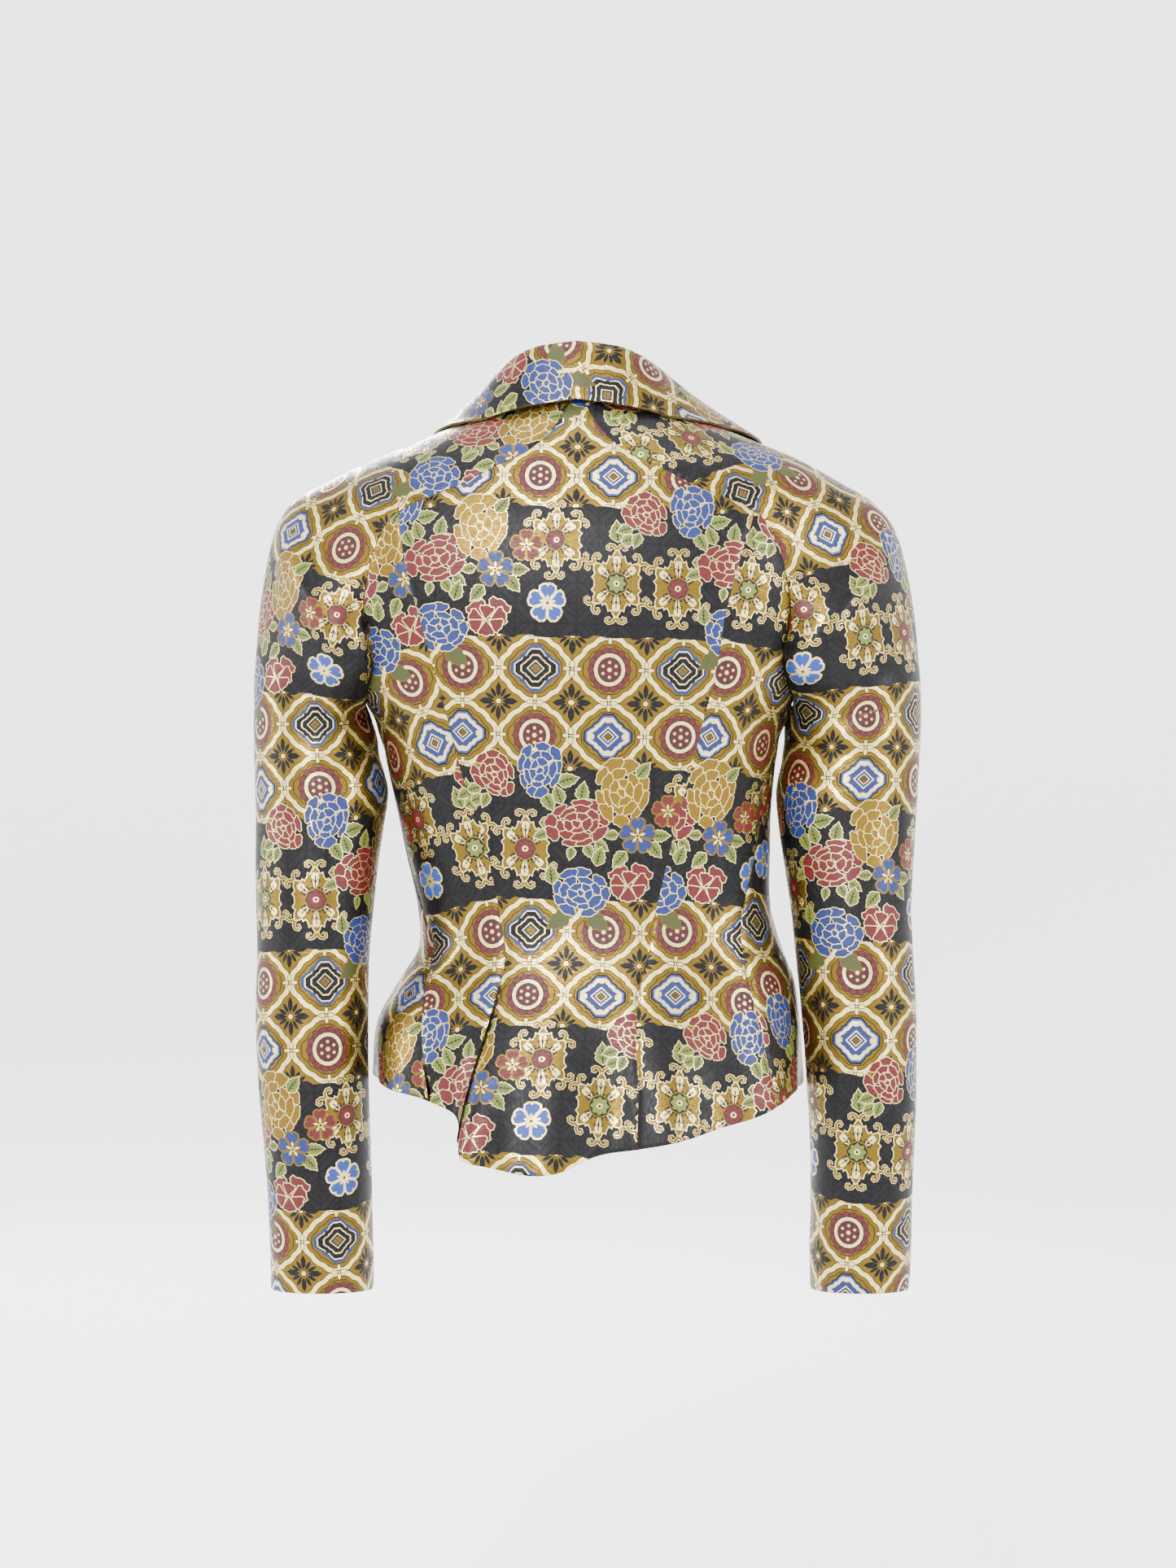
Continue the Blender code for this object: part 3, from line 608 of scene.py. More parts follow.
def drawn_in(grid, gap):
    """Moves a grid's rim inwards on its own surface by half a seam gap."""
    out = grid.copy()
    for axis in (0, 1):
        moved = np.swapaxes(out, 0, axis)
        source = np.swapaxes(grid, 0, axis)
        for edge, beside in ((0, 1), (-1, -2)):
            inward = source[beside] - source[edge]
            along = unit(np.gradient(source[edge], axis=0))
            inward = inward - along * np.sum(inward * along, -1, keepdims=True)
            moved[edge] += unit(inward) * gap / 2
    return out


# How fine the shown cloth is
CLOTH_STEP = 6.0  # millimetres between the points that carry the form
EDGE_STEPS = (0.2, 0.45, 0.75)  # shares of a step, for extra lines along every edge
SEAM_ROLL, SEAM_ROLL_WIDTH = 0.8, 2.2  # millimetres that a sewn edge sinks, and over what width
FREE_ROLL, FREE_ROLL_WIDTH = 0.5, 1.3  # the same along a free edge


def catmull(values, at):
    """Values along the first axis at fractional indices, on a smooth curve through them."""
    last = len(values) - 1
    i = np.clip(np.floor(at).astype(int), 0, last - 1)
    t = (at - i).reshape(-1, *([1] * (values.ndim - 1)))
    slope = np.gradient(values, axis=0, edge_order=2)
    a, b, ma, mb = values[i], values[i + 1], slope[i], slope[i + 1]
    return (
        (1 + 2 * t) * (1 - t) ** 2 * a + t * (1 - t) ** 2 * ma
        + t * t * (3 - 2 * t) * b + t * t * (t - 1) * mb
    )


def resampled(values, across, along):
    """A grid of values at fractional indices along both axes."""
    half = catmull(values, across)
    return np.swapaxes(catmull(np.swapaxes(half, 0, 1), along), 0, 1)


def evened(points):
    """The same form with its rows and its columns evenly spaced, as far as they can be."""
    lines = []
    for axis in (0, 1):
        steps = np.linalg.norm(np.diff(points, axis=axis), axis=2).mean(1 - axis)
        run = np.concatenate([[0], np.cumsum(steps)])
        lines.append(np.interp(np.linspace(0, run[-1], len(run)), run, np.arange(len(run))))
    return resampled(points, *lines)


def step_lines(length, last):
    """Fractional indices 0..last about CLOTH_STEP apart on a length in mm, closer at both ends."""
    count = max(int(round(length / CLOTH_STEP)), 4)
    near = np.array(EDGE_STEPS)
    lines = np.concatenate([[0], near, np.arange(1, count), count - near[::-1], [count]])
    return lines * last / count


FLAT_LEVELS = ((13, 25, 60), (21, 37, 40))  # points across and along, and rounds, of each grid laid flat


def flattened(points):
    """Lays a grid of points (mm) flat, first a coarse one; gives the finest, and its indices."""
    flat = at = None
    for across, along, rounds in FLAT_LEVELS:
        last, at = at, [np.linspace(0, count - 1, most) for count, most in zip(points.shape, (across, along))]
        if flat is not None:
            flat = resampled(flat, *[np.interp(new, old, np.arange(len(old))) for new, old in zip(at, last)])
        flat = settled(resampled(points, *at), flat, rounds)
    return flat, at


def tile_corners(index):
    """The four corners of every tile of a grid, round it in order."""
    return (part.ravel() for part in (index[:-1, :-1], index[1:, :-1], index[1:, 1:], index[:-1, 1:]))


def own_triangles(points):
    """Both ways to split a grid's tiles in triangles, and each triangle's corners in its own plane."""
    p = points.reshape(-1, 3)
    index = np.arange(len(p)).reshape(points.shape[:2])
    a, b, c, d = tile_corners(index)
    tris = np.concatenate([np.stack(t, -1) for t in ((a, b, c), (a, c, d), (a, b, d), (b, c, d))])
    first, second = p[tris[:, 1]] - p[tris[:, 0]], p[tris[:, 2]] - p[tris[:, 0]]
    onward = unit(first)
    share = np.sum(second * onward, 1)
    own = np.zeros((len(tris), 3, 2))
    own[:, 1, 0] = np.linalg.norm(first, axis=1)
    own[:, 2] = np.stack([share, np.linalg.norm(second - onward * share[:, None], axis=1)], -1)
    return tris, own


def opened(points, tris, own):
    """A first flat shape that keeps every triangle's angles, with the middle line's ends pinned."""
    across, along = points.shape[:2]
    long = np.linalg.norm(np.diff(points[across // 2], axis=0), axis=1).sum()
    pins = [across // 2 * along, across // 2 * along + along - 1]
    corner = own[..., 0] + 1j * own[..., 1]
    area = np.sqrt(own[:, 1, 0] * own[:, 2, 1])
    rule = np.zeros((len(tris), across * along), complex)
    for k in range(3):
        rule[np.arange(len(tris)), tris[:, k]] = (corner[:, (k + 2) % 3] - corner[:, (k + 1) % 3]) / area
    free = np.setdiff1d(np.arange(across * along), pins)
    flat = np.zeros(across * along, complex)
    flat[pins] = (0, 1j * long)
    flat[free] = np.linalg.lstsq(rule[:, free], -rule[:, pins] @ flat[pins], rcond=None)[0]
    return np.stack([flat.real, flat.imag], -1)


def settled(points, flat, rounds):
    """Moves a flat grid until each of its triangles is as near its own shape in space as it can be."""
    tris, own = own_triangles(points)
    p, area = points.reshape(-1, 3), own[:, 1, 0] * own[:, 2, 1]
    flat = opened(points, tris, own) if flat is None else flat.reshape(-1, 2)
    sides, matrix = [], np.zeros((len(p), len(p)))
    for k in range(3):
        i, j = (k + 1) % 3, (k + 2) % 3
        hold = np.clip(np.sum((own[:, i] - own[:, k]) * (own[:, j] - own[:, k]), 1) / area, 0.05, 4)
        sides.append((tris[:, i], tris[:, j], hold[:, None], own[:, i] - own[:, j]))
        for row, column, sign in ((i, i, 1), (j, j, 1), (i, j, -1), (j, i, -1)):
            np.add.at(matrix, (tris[:, row], tris[:, column]), sign * hold)
    matrix[0, 0] += 1.0
    solve = np.linalg.inv(matrix)
    for _ in range(rounds):
        bend = np.zeros((len(tris), 2))
        for i, j, hold, side in sides:
            now = flat[i] - flat[j]
            cross = now[:, 1] * side[:, 0] - now[:, 0] * side[:, 1]
            bend += hold * np.stack([np.sum(now * side, 1), cross], -1)
        cos, sin = unit(bend).T
        push = np.zeros_like(flat)
        for i, j, hold, side in sides:
            x, y = side.T
            pull = hold * np.stack([cos * x - sin * y, sin * x + cos * y], -1)
            for spots, sign in ((i, 1), (j, -1)):
                for axis in (0, 1):
                    push[:, axis] += sign * np.bincount(spots, pull[:, axis], len(p))
        flat = solve @ push
    return flat.reshape(*points.shape[:2], 2)


REPEAT = (216.0, 194.4)  # millimetres, across and along; every second row is shifted by half

INKS = (
    "black", "gold", "cream", "bronze", "tan", "red", "dark_red", "blue", "light_blue", "navy", "leaf",
    "olive",
)

def turned(shape, degrees):
    """The points turned about the origin, counterclockwise."""
    a = math.radians(degrees)
    return shape @ np.array([[math.cos(a), math.sin(a)], [-math.sin(a), math.cos(a)]])


def mirrored(half):
    """Closes a half outline over its own long axis."""
    half = np.array(half, float)
    back = half[::-1] * (1, -1)
    keep = np.abs(back[:, 1]) > 1e-9
    return np.concatenate([half, back[keep]])


def lobed(radius, lobes, depth, count, high=1.0):
    """A circle of count points, waved into lobes."""
    a = np.linspace(0, 2 * math.pi, count, endpoint=False)
    r = radius * (1 + depth * np.cos(lobes * a))
    return np.stack([r * np.cos(a), r * np.sin(a) * high], -1)


def inset(shape, by):
    """Moves an outline in by a distance; a negative one moves it out."""
    edge = np.roll(shape, -1, 0) - shape
    edge /= np.maximum(np.linalg.norm(edge, axis=1, keepdims=True), 1e-9)
    normal = np.stack([-edge[:, 1], edge[:, 0]], -1)
    mean = normal + np.roll(normal, 1, 0)
    mean /= np.maximum(np.linalg.norm(mean, axis=1, keepdims=True), 1e-9)
    share = np.maximum(np.sum(mean * normal, 1), 0.6)
    area = np.sum(shape[:, 0] * np.roll(shape[:, 1], -1) - shape[:, 1] * np.roll(shape[:, 0], -1))
    return shape + mean * (by / share)[:, None] * np.sign(area)


def strip(path, widths):
    """Outline of a line drawn with a changing width."""
    path = np.array(path, float)
    way = np.gradient(path, axis=0)
    way /= np.linalg.norm(way, axis=1, keepdims=True)
    off = np.stack([-way[:, 1], way[:, 0]], -1) * np.array(widths)[:, None] / 2
    return np.concatenate([path - off, (path + off)[::-1]])


# Half outlines along an axis from 0 to 1, and a curl's line with its widths in millimetres.
HEART = ((0.08, 0), (0.32, 0.17), (0.62, 0.35), (0.86, 0.34), (0.98, 0.2), (1.0, 0.07), (0.9, 0))
BLADE = ((0, 0), (0.3, 0.5), (0.68, 0.5), (1, 0))
LEAF = (
    (0, 0), (0.08, 0.16), (0.2, 0.36), (0.32, 0.43), (0.4, 0.34), (0.5, 0.42), (0.6, 0.3), (0.72, 0.28),
    (0.82, 0.14), (1, 0),
)
CURL = ((0, 0), (0.5, 2.4), (1.9, 4.3), (4.0, 4.9), (5.5, 3.8), (5.3, 2.1), (3.9, 1.7), (3.5, 2.7))
CURL_WIDTHS = (2.2, 1.7, 1.5, 1.4, 1.3, 1.2, 1.3, 1.6)

def petal(half, long, wide, start=0.0, angle=0.0):
    """A half outline closed, sized, set off the middle and turned."""
    shape = mirrored(half) * (long, wide) + (start, 0)
    return turned(shape, angle)


def daisy():
    """Twelve black petals round a pale eye, four of them longer."""
    out = []
    for k in range(12):
        main = k % 3 == 0
        flat = k % 6 == 0
        long, wide = (11.6, 4.6 if flat else 3.6) if main else (8.6, 2.5)
        out.append((petal(BLADE, long, wide, 2.9, 30 * k), "black"))
    out += [(lobed(2.5, 6, 0.1, 12), "bronze"), (lobed(1.8, 6, 0.1, 12), "cream")]
    return out


def knot():
    """Four small pale petals where the lattice crosses."""
    out = []
    for k in range(4):
        bit = turned(lobed(2.1, 1, 0.0, 6, 0.66) * (1.25, 1.0) + (3.5, 0), 90 * k)
        out.append((inset(bit, -0.5), "bronze"))
        out.append((bit, "cream"))
    out += [(lobed(1.4, 1, 0, 8), "bronze"), (lobed(0.8, 1, 0, 6), "cream")]
    return out


def frame_curve(scale, count):
    """One cell of the lattice: a lozenge with bowed and scalloped sides."""
    a = np.linspace(0, 2 * math.pi, count, endpoint=False)
    r = 0.885 + 0.115 * np.abs(np.cos(2 * a)) ** 3 - 0.022 * np.cos(12 * a)
    return np.stack([27 * r * np.cos(a) * scale, 24.6 * r * np.sin(a) * scale], -1)


def sun():
    """A red medallion: points round a pale ring, and a dark disc with dotted lobes."""
    out = [(lobed(15.9, 14, 0.045, 28, 1.05), "dark_red")]
    for k in range(14):
        out.append((petal(BLADE, 4.4, 4.4, 11.6, 360 * k / 14) * (1, 1.05), "red"))
    out += [
        (lobed(11.9, 1, 0, 18, 1.06), "bronze"),
        (lobed(11.4, 1, 0, 18, 1.06), "cream"),
        (lobed(8.9, 1, 0, 16, 1.06), "dark_red"),
    ]
    for k in range(6):
        out.append((turned(lobed(2.1, 1, 0, 6) + (5.4, 0), 60 * k + 30), "red"))
        out.append((turned(lobed(1.15, 1, 0, 5) + (5.4, 0), 60 * k + 30), "cream"))
    out += [(lobed(2.6, 6, 0.12, 12), "red"), (lobed(1.6, 1, 0, 8), "cream")]
    return out


def rhomb(size, high=0.95):
    """A plain lozenge."""
    return np.array([(size, 0), (0, size * high), (-size, 0), (0, -size * high)], float)


def scalloped(wide, high, count=32):
    """A lozenge with bowed sides and small scallops, as the blue medallions have."""
    a = np.linspace(0, 2 * math.pi, count, endpoint=False)
    r = 0.78 + 0.22 * np.abs(np.cos(2 * a)) ** 2.2 - 0.035 * np.cos(12 * a)
    return np.stack([wide * r * np.cos(a), high * r * np.sin(a)], -1)


def diamond(kind):
    """A blue medallion: one kind has black inside, the other white with blue scallops."""
    if kind:
        layers = [(scalloped(18.8, 17.6), "blue"), (scalloped(16.4, 15.2), "cream")]
        layers.append((scalloped(15.4, 14.2), "black"))
        layers += [(scalloped(11.4, 10.6), "cream"), (scalloped(10.3, 9.5), "black")]
        layers += [(rhomb(6.6), "cream"), (rhomb(5.6), "navy")]
        layers += [(rhomb(3.6), "gold"), (rhomb(2.4), "dark_red")]
        for k in range(4):
            layers.append((turned(lobed(1.5, 3, 0.2, 9) + (12.9, 0), 90 * k + 45), "blue"))
    else:
        layers = [(scalloped(18.8, 17.6), "black"), (scalloped(17.4, 16.2), "light_blue")]
        layers += [(scalloped(15.8, 14.6), "cream"), (scalloped(12.6, 11.4), "blue")]
        for k in range(4):
            layers.append((turned(lobed(1.9, 3, 0.2, 9) + (11.8, 0), 90 * k), "cream"))
        layers += [(rhomb(8.0), "cream"), (rhomb(6.7), "blue"), (rhomb(4.6), "cream"), (rhomb(3.6), "black")]
    for k in range(4):
        layers.append((petal(BLADE, 2.0, 1.4, 0.3, 90 * k), "gold"))
    return layers


def five(ink, edge, size):
    """A flower of five notched petals."""
    out = []
    for k in range(5):
        shape = petal(HEART, size, size * 1.18, 0.4, 90 + 72 * k)
        out.append((inset(shape, -0.5 if edge == "tan" else -0.9), "cream" if edge != "tan" else "tan"))
    for k in range(5):
        shape = petal(HEART, size, size * 1.18, 0.4, 90 + 72 * k)
        out.append((inset(shape, 0.45), ink))
        out.append((petal(BLADE, size * 0.34, size * 0.13, 1.6, 90 + 72 * k), "cream"))
    out += [(lobed(1.7, 5, 0.15, 10), "cream"), (lobed(1.1, 1, 0, 7), "dark_red")]
    return out


RUFFLE_RINGS = ((9, 0.52, 0.5, 0), (7, 0.26, 0.46, 20), (5, 0.05, 0.4, 50), (2, -0.12, 0.26, 10))


def ruffle(long, spread=48.0):
    """One wavy petal with its foot at the origin."""
    a = np.linspace(-1, 1, 8)
    r = long * (0.87 + 0.15 * np.abs(np.cos(1.5 * math.pi * a)))
    t = np.radians(spread * a)
    return np.concatenate([[(0, 0)], np.stack([r * np.cos(t), r * np.sin(t)], -1)])


def peony(ink, edge, wide, high, taper=0.0, lean=0.0, shift=0):
    """A peony of overlapping petals, from its outer ring in; taper narrows its foot."""
    out = []
    size = math.sqrt(wide * high) / 2
    for count, base, long, start in RUFFLE_RINGS:
        for k in range(count):
            turn = start + shift + 360 * k / count + 7 * math.sin(2.3 * k + shift)
            middle = np.array([math.cos(math.radians(turn)), math.sin(math.radians(turn))]) * base
            long_here = long * size * (1 + 0.1 * math.sin(1.7 * k + shift))
            shape = turned(ruffle(long_here), turn) + middle * size
            shape = shape * (wide / 2 / size, high / 2 / size)
            shape[:, 0] *= 1 + taper * shape[:, 1] / high
            shape = turned(shape, lean)
            out.append((inset(shape, -0.25), edge))
            out.append((inset(shape, 0.28), ink))
    return out


def leaf(long, turn, ink="leaf", edge="cream"):
    """A toothed leaf with its veins; an olive one has none."""
    body = petal(LEAF, long, long * 0.78, 0, turn)
    out = [(inset(body, -0.4), edge), (inset(body, 0.15), ink)]
    vein = [(turned(strip(((0.06, 0), (0.5, 0.02), (0.9, 0)), (0.05, 0.045, 0.02)) * long, turn), "black")]
    for x, y in ((0.25, 0.2), (0.45, 0.24), (0.62, 0.17)):
        for side in (1, -1):
            bar = np.array([(x - 0.05, 0), (x + 0.01, 0), (x + 0.17, side * y)]) * long
            vein.append((turned(bar[::side], turn), "black"))
    return out + (vein if ink == "leaf" else [])


HEXAGON_TIPS = ((90, 24.4), (42, 21.6), (-42, 21.6), (-90, 24.4), (-138, 21.6), (138, 21.6))
HEXAGON_EDGE = ((0, 1.0), (0.12, 0.9), (0.2, 0.78), (0.32, 0.84), (0.4, 0.74))  # shares of the gap and reach


def hexagon_edge(grow):
    """The frame's outline: long tips with a scallop on both sides of each gap between them."""
    tips = sorted(HEXAGON_TIPS)
    edge = []
    for k, (angle, far) in enumerate(tips):
        onward, next_far = tips[(k + 1) % 6]
        gap = (onward - angle) % 360
        steps = [(share, far * reach) for share, reach in HEXAGON_EDGE]
        steps += [(1 - share, next_far * reach) for share, reach in HEXAGON_EDGE[:0:-1]]
        for share, reach in steps:
            t = math.radians(angle + gap * share)
            edge.append((reach * math.cos(t), reach * math.sin(t)))
    return inset(np.array(edge), -grow)


def hexagon(ink, ground):
    """A six-pointed gold frame with curls at its tips, pale hearts inside and a flower in the middle."""
    out = []
    for grow, finish in ((1.0, "cream"), (0.0, "gold")):
        for angle, far in HEXAGON_TIPS:
            spot = np.array([math.cos(math.radians(angle)), math.sin(math.radians(angle))]) * (far - 1.5)
            for side in (1, -1):
                curl = turned(np.array(CURL) * (side * 1.3, 1.2), angle - 90)
                out.append((strip(curl, np.array(CURL_WIDTHS) * 1.1 + grow) + spot, finish))
    out += [(hexagon_edge(0.7), "cream"), (hexagon_edge(-0.1), "gold")]
    for angle, far in HEXAGON_TIPS:
        out.append((petal(HEART, far - 8.2, 9.6, 5.0, angle), "bronze"))
        out.append((petal(HEART, far - 9.2, 8.2, 5.5, angle), "cream"))
        out.append((turned(strip(((7.0, 0), (far - 6.5, 0)), (0.8, 0.9)), angle), "black"))
        for side in (1, -1):
            hook = np.array([(x * 0.62, y * 0.62 * side) for y, x in CURL])
            small = np.stack([far - 12.6 + hook[:, 0], hook[:, 1]], -1)
            out.append((turned(strip(small, [0.8] * len(CURL)), angle), "black"))
            out.append((turned(lobed(0.9, 1, 0, 6) + (8.8, side * 2.6), angle), "black"))
    out.append((lobed(7.6, 8, 0.07, 24), ground))
    for k in range(8):
        out.append((petal(BLADE, 5.6, 3.6, 1.6, 45 * k), ink))
    out += [(lobed(2.3, 8, 0.05, 10), "cream"), (lobed(1.1, 1, 0, 6), ground)]
    return out


TULIP_PETALS = (  # degrees, length, and how far to the right its foot is
    (60, 17, 3.6), (118, 15, -2.8), (20, 13, 2.4), (165, 12, -1.6), (80, 11, -0.8), (-30, 11, 2.0),
    (215, 11, -2.4), (-90, 12, 0),
)


def tulip(ink):
    """An open bud of a few broad petals."""
    out = []
    for turn, long, right in TULIP_PETALS:
        shape = turned(ruffle(long, 36), turn) + (right, 0)
        out.append((inset(shape, -0.4), "cream"))
        out.append((inset(shape, 0.25), ink))
    return out


# The black band's figures: kind, place in mm right and up of the large red peony, and what the kind takes.
BLACK_BAND = (
    ("leaf", (-12, 14.4), (15, 110)),
    ("leaf", (1.8, 16.8), (15, 80)),
    ("leaf", (-21.6, -7.2), (12, 200)),
    ("leaf", (6, -15.6), (12, -60)),
    ("leaf", (13.2, -13.2), (12, -35)),
    ("leaf", (-3.6, -18), (10, -100)),
    ("peony", (0, 0), ("red", "cream", 48, 36, 0.1, 12, 0)),
    ("peony", (32.4, 24), ("tan", "cream", 42, 50, 0.3, 0, 30)),
    ("leaf", (43.2, 34.8), (15, 50)),
    ("leaf", (36, -20.4), (15, -130)),
    ("leaf", (30, -7.2), (11, 190)),
    ("leaf", (55.2, -8.4), (14, 0)),
    ("leaf", (52.8, -13.2), (15, -50)),
    ("five", (44.4, -8.4), ("blue", "tan", 13.0)),
    ("hexagon", (88.2, 14.4), ("red", "dark_red")),
    ("five", (66.6, 9.6), ("red", "tan", 11.5)),
    ("five", (82.8, -32.4), ("light_blue", "cream", 13.5)),
    ("hexagon", (132.6, -17.4), ("leaf", "black")),
    ("hexagon", (177.6, -19.8), ("red", "dark_red")),
    ("leaf", (133.2, 13.2), (17, 95)),
    ("leaf", (135.6, 13.2), (14, 20)),
    ("leaf", (144, 25.2), (13, 200)),
    ("leaf", (148.8, 20.4), (12, 250)),
    ("peony", (153.6, 34.8), ("red", "cream", 30, 38, 0.5, 35, 60)),
    ("leaf", (201, 30), (16, 15)),
    ("leaf", (190.8, 21.6), (15, -60)),
    ("leaf", (187.8, 0), (13, 0)),
    ("peony", (187.2, 39.6), ("blue", "cream", 33, 42, 0.25, -12, 100)),
    ("leaf", (-18, -45.6), (15, 95)),
    ("leaf", (14.4, -31.2), (15, 75)),
    ("olive", (-4.8, -67.2), (20, 215)),
    ("olive", (8.4, -67.2), (20, -35)),
    ("peony", (3.6, -51.6), ("blue", "cream", 44, 36, 0.1, -6, 10)),
    ("tulip", (38.4, -45.6), ("red",)),
)
KINDS = {
    "leaf": leaf,
    "olive": functools.partial(leaf, ink="olive", edge="gold"),
    "peony": peony,
    "five": five,
    "hexagon": hexagon,
    "tulip": tulip,
}
BAND_TOP, BAND_FOOT = 39.6, -56.4  # millimetres, the black band's edges
CELL = (54.0, 49.2)  # millimetres, a cell of the gold band's lattice
CELL_RIGHT, CELL_DOWN = 21.0, 23.8  # millimetres, the first cell's middle from the peony and the band's foot
RIBBONS = (  # size of each outline in the lattice, its ink and its points
    (1.075, "bronze", 36),
    (1.05, "cream", 36),
    (0.895, "bronze", 36),
    (0.87, "gold", 36),
    (0.765, "bronze", 24),
    (0.738, "gold", 24),
)
BAND_WAVES = ((0.9, 4, 1), (0.5, 9, 2))  # rise in mm, waves in a repeat, and share of the phase


def band_edge(u, level, phase):
    """Height of a black band's edge, which waves a little."""
    turn = 2 * math.pi * u / REPEAT[0]
    return level + sum(rise * np.sin(many * turn + part * phase) for rise, many, part in BAND_WAVES)


FRAME_REACH, MEDALLION_REACH, DAISY_REACH, KNOT_REACH = 32, 20, 15, 8  # millimetres from the middle out
BAND_STEP = 6.0  # millimetres between the points of the black band's edges


@functools.cache
def motifs():
    """One repeat as groups of (place, reach, layers), those behind first."""
    out, lattice = [], []
    row_1 = BAND_FOOT - CELL_DOWN
    row_2 = row_1 - CELL[1]
    ribbons = [(frame_curve(size, points), ink) for size, ink, points in RIBBONS]
    for k in range(4):
        middle, between = CELL_RIGHT + CELL[0] * k, CELL_RIGHT + CELL[0] * (k + 0.5)
        lattice += [((middle, row), FRAME_REACH, ribbons) for row in (row_1, row_2)]
        for up in (row_1 + CELL[1] / 2, row_1 - CELL[1] / 2, row_2 - CELL[1] / 2):
            out.append(((between, up), DAISY_REACH, daisy()))
            out.append(((middle, up), KNOT_REACH, knot()))
        for row in (row_1, row_2):
            out.append(((between, row), KNOT_REACH, knot()))
        pair = (sun(), diamond(False)) if k % 2 == 0 else (diamond(True), sun())
        for row, medallion in zip((row_1, row_2), pair):
            out.append(((middle, row), MEDALLION_REACH, medallion))
    black = []
    u = np.arange(0, REPEAT[0] + BAND_STEP / 2, BAND_STEP)
    top = np.stack([u, band_edge(u, BAND_TOP, 0.3)], -1)
    foot = np.stack([u, band_edge(u, BAND_FOOT, 1.1)], -1)
    ribbon = np.concatenate([foot, top[::-1]])
    black.append(((0, 0), sum(REPEAT), [(ribbon, "black")]))
    flowers = []
    for kind, at, values in BLACK_BAND:
        layers = KINDS[kind](*values)
        reach = max(float(np.abs(s).max()) for s, _ in layers) * 1.42
        flowers.append((at, reach, layers))
    return lattice, out, black, flowers


# Folds, listed one by one: from one point to another in mm to the wearer's left and up, how wide
# and how deep (a trough is negative), and the half of the garment: 1 back, -1 front.
FOLD_COLUMNS = ("x0", "z0", "x1", "z1", "width", "depth", "half")
FOLD_ROWS = (
    (-142, -246, -200, -262, 6, -2.8, 1),
    (-144, -232, -206, -240, 7, 1.6, 1),
    (-146, -266, -190, -282, 5, -1.8, 1),
    (152, -232, 206, -246, 6, -2.6, 1),
    (154, -218, 212, -224, 7, 1.6, 1),
    (150, -254, 196, -270, 5, -1.8, 1),
    (-146, -248, -200, -262, 6, -2.4, -1),
    (-144, -266, -188, -284, 5, -1.6, -1),
    (156, -236, 208, -250, 6, -2.4, -1),
    (152, -258, 196, -276, 5, -1.6, -1),
)
EDGE_ROLLS = {"sewn": (SEAM_ROLL, SEAM_ROLL_WIDTH), "free": (FREE_ROLL, FREE_ROLL_WIDTH)}
DRAWN_LARGER = 1.028  # the figures are drawn this much larger than they lie on the cloth
CUT_NEAR = 1e-4  # millimetres, under which two cuts are one
STRAIGHT = 2e-3  # millimetres, under which a corner of an outline is left out


def folded(points, away):
    """How far the cloth stands out in mm at each point, from the folds near it."""
    out = np.zeros(points.shape[:-1])
    for row in FOLD_ROWS:
        fold = dict(zip(FOLD_COLUMNS, row))
        start = np.array((fold["x0"], fold["z0"]), float)
        run = np.array((fold["x1"], fold["z1"]), float) - start
        long = np.linalg.norm(run)
        spot = points[..., (0, 2)] - start
        share = spot @ run / long**2
        off = (spot[..., 0] * run[1] - spot[..., 1] * run[0]) / long
        off = off + 0.06 * long * np.sin(math.pi * np.clip(share, 0, 1))
        ends = ease((share + 0.25) / 0.5) * ease((1.25 - share) / 0.5)
        facing = ease((away[..., 1] * fold["half"] + 0.2) / 0.5)
        out += fold["depth"] * np.exp(-((off / fold["width"]) ** 2)) * ends * facing
    return out


def out_of(grid, turn):
    """Unit directions square to a grid of points, on the side that turn (1 or -1) gives."""
    across = np.gradient(grid, axis=0, edge_order=2)
    along = np.gradient(grid, axis=1, edge_order=2)
    return unit(np.cross(across, along)) * turn


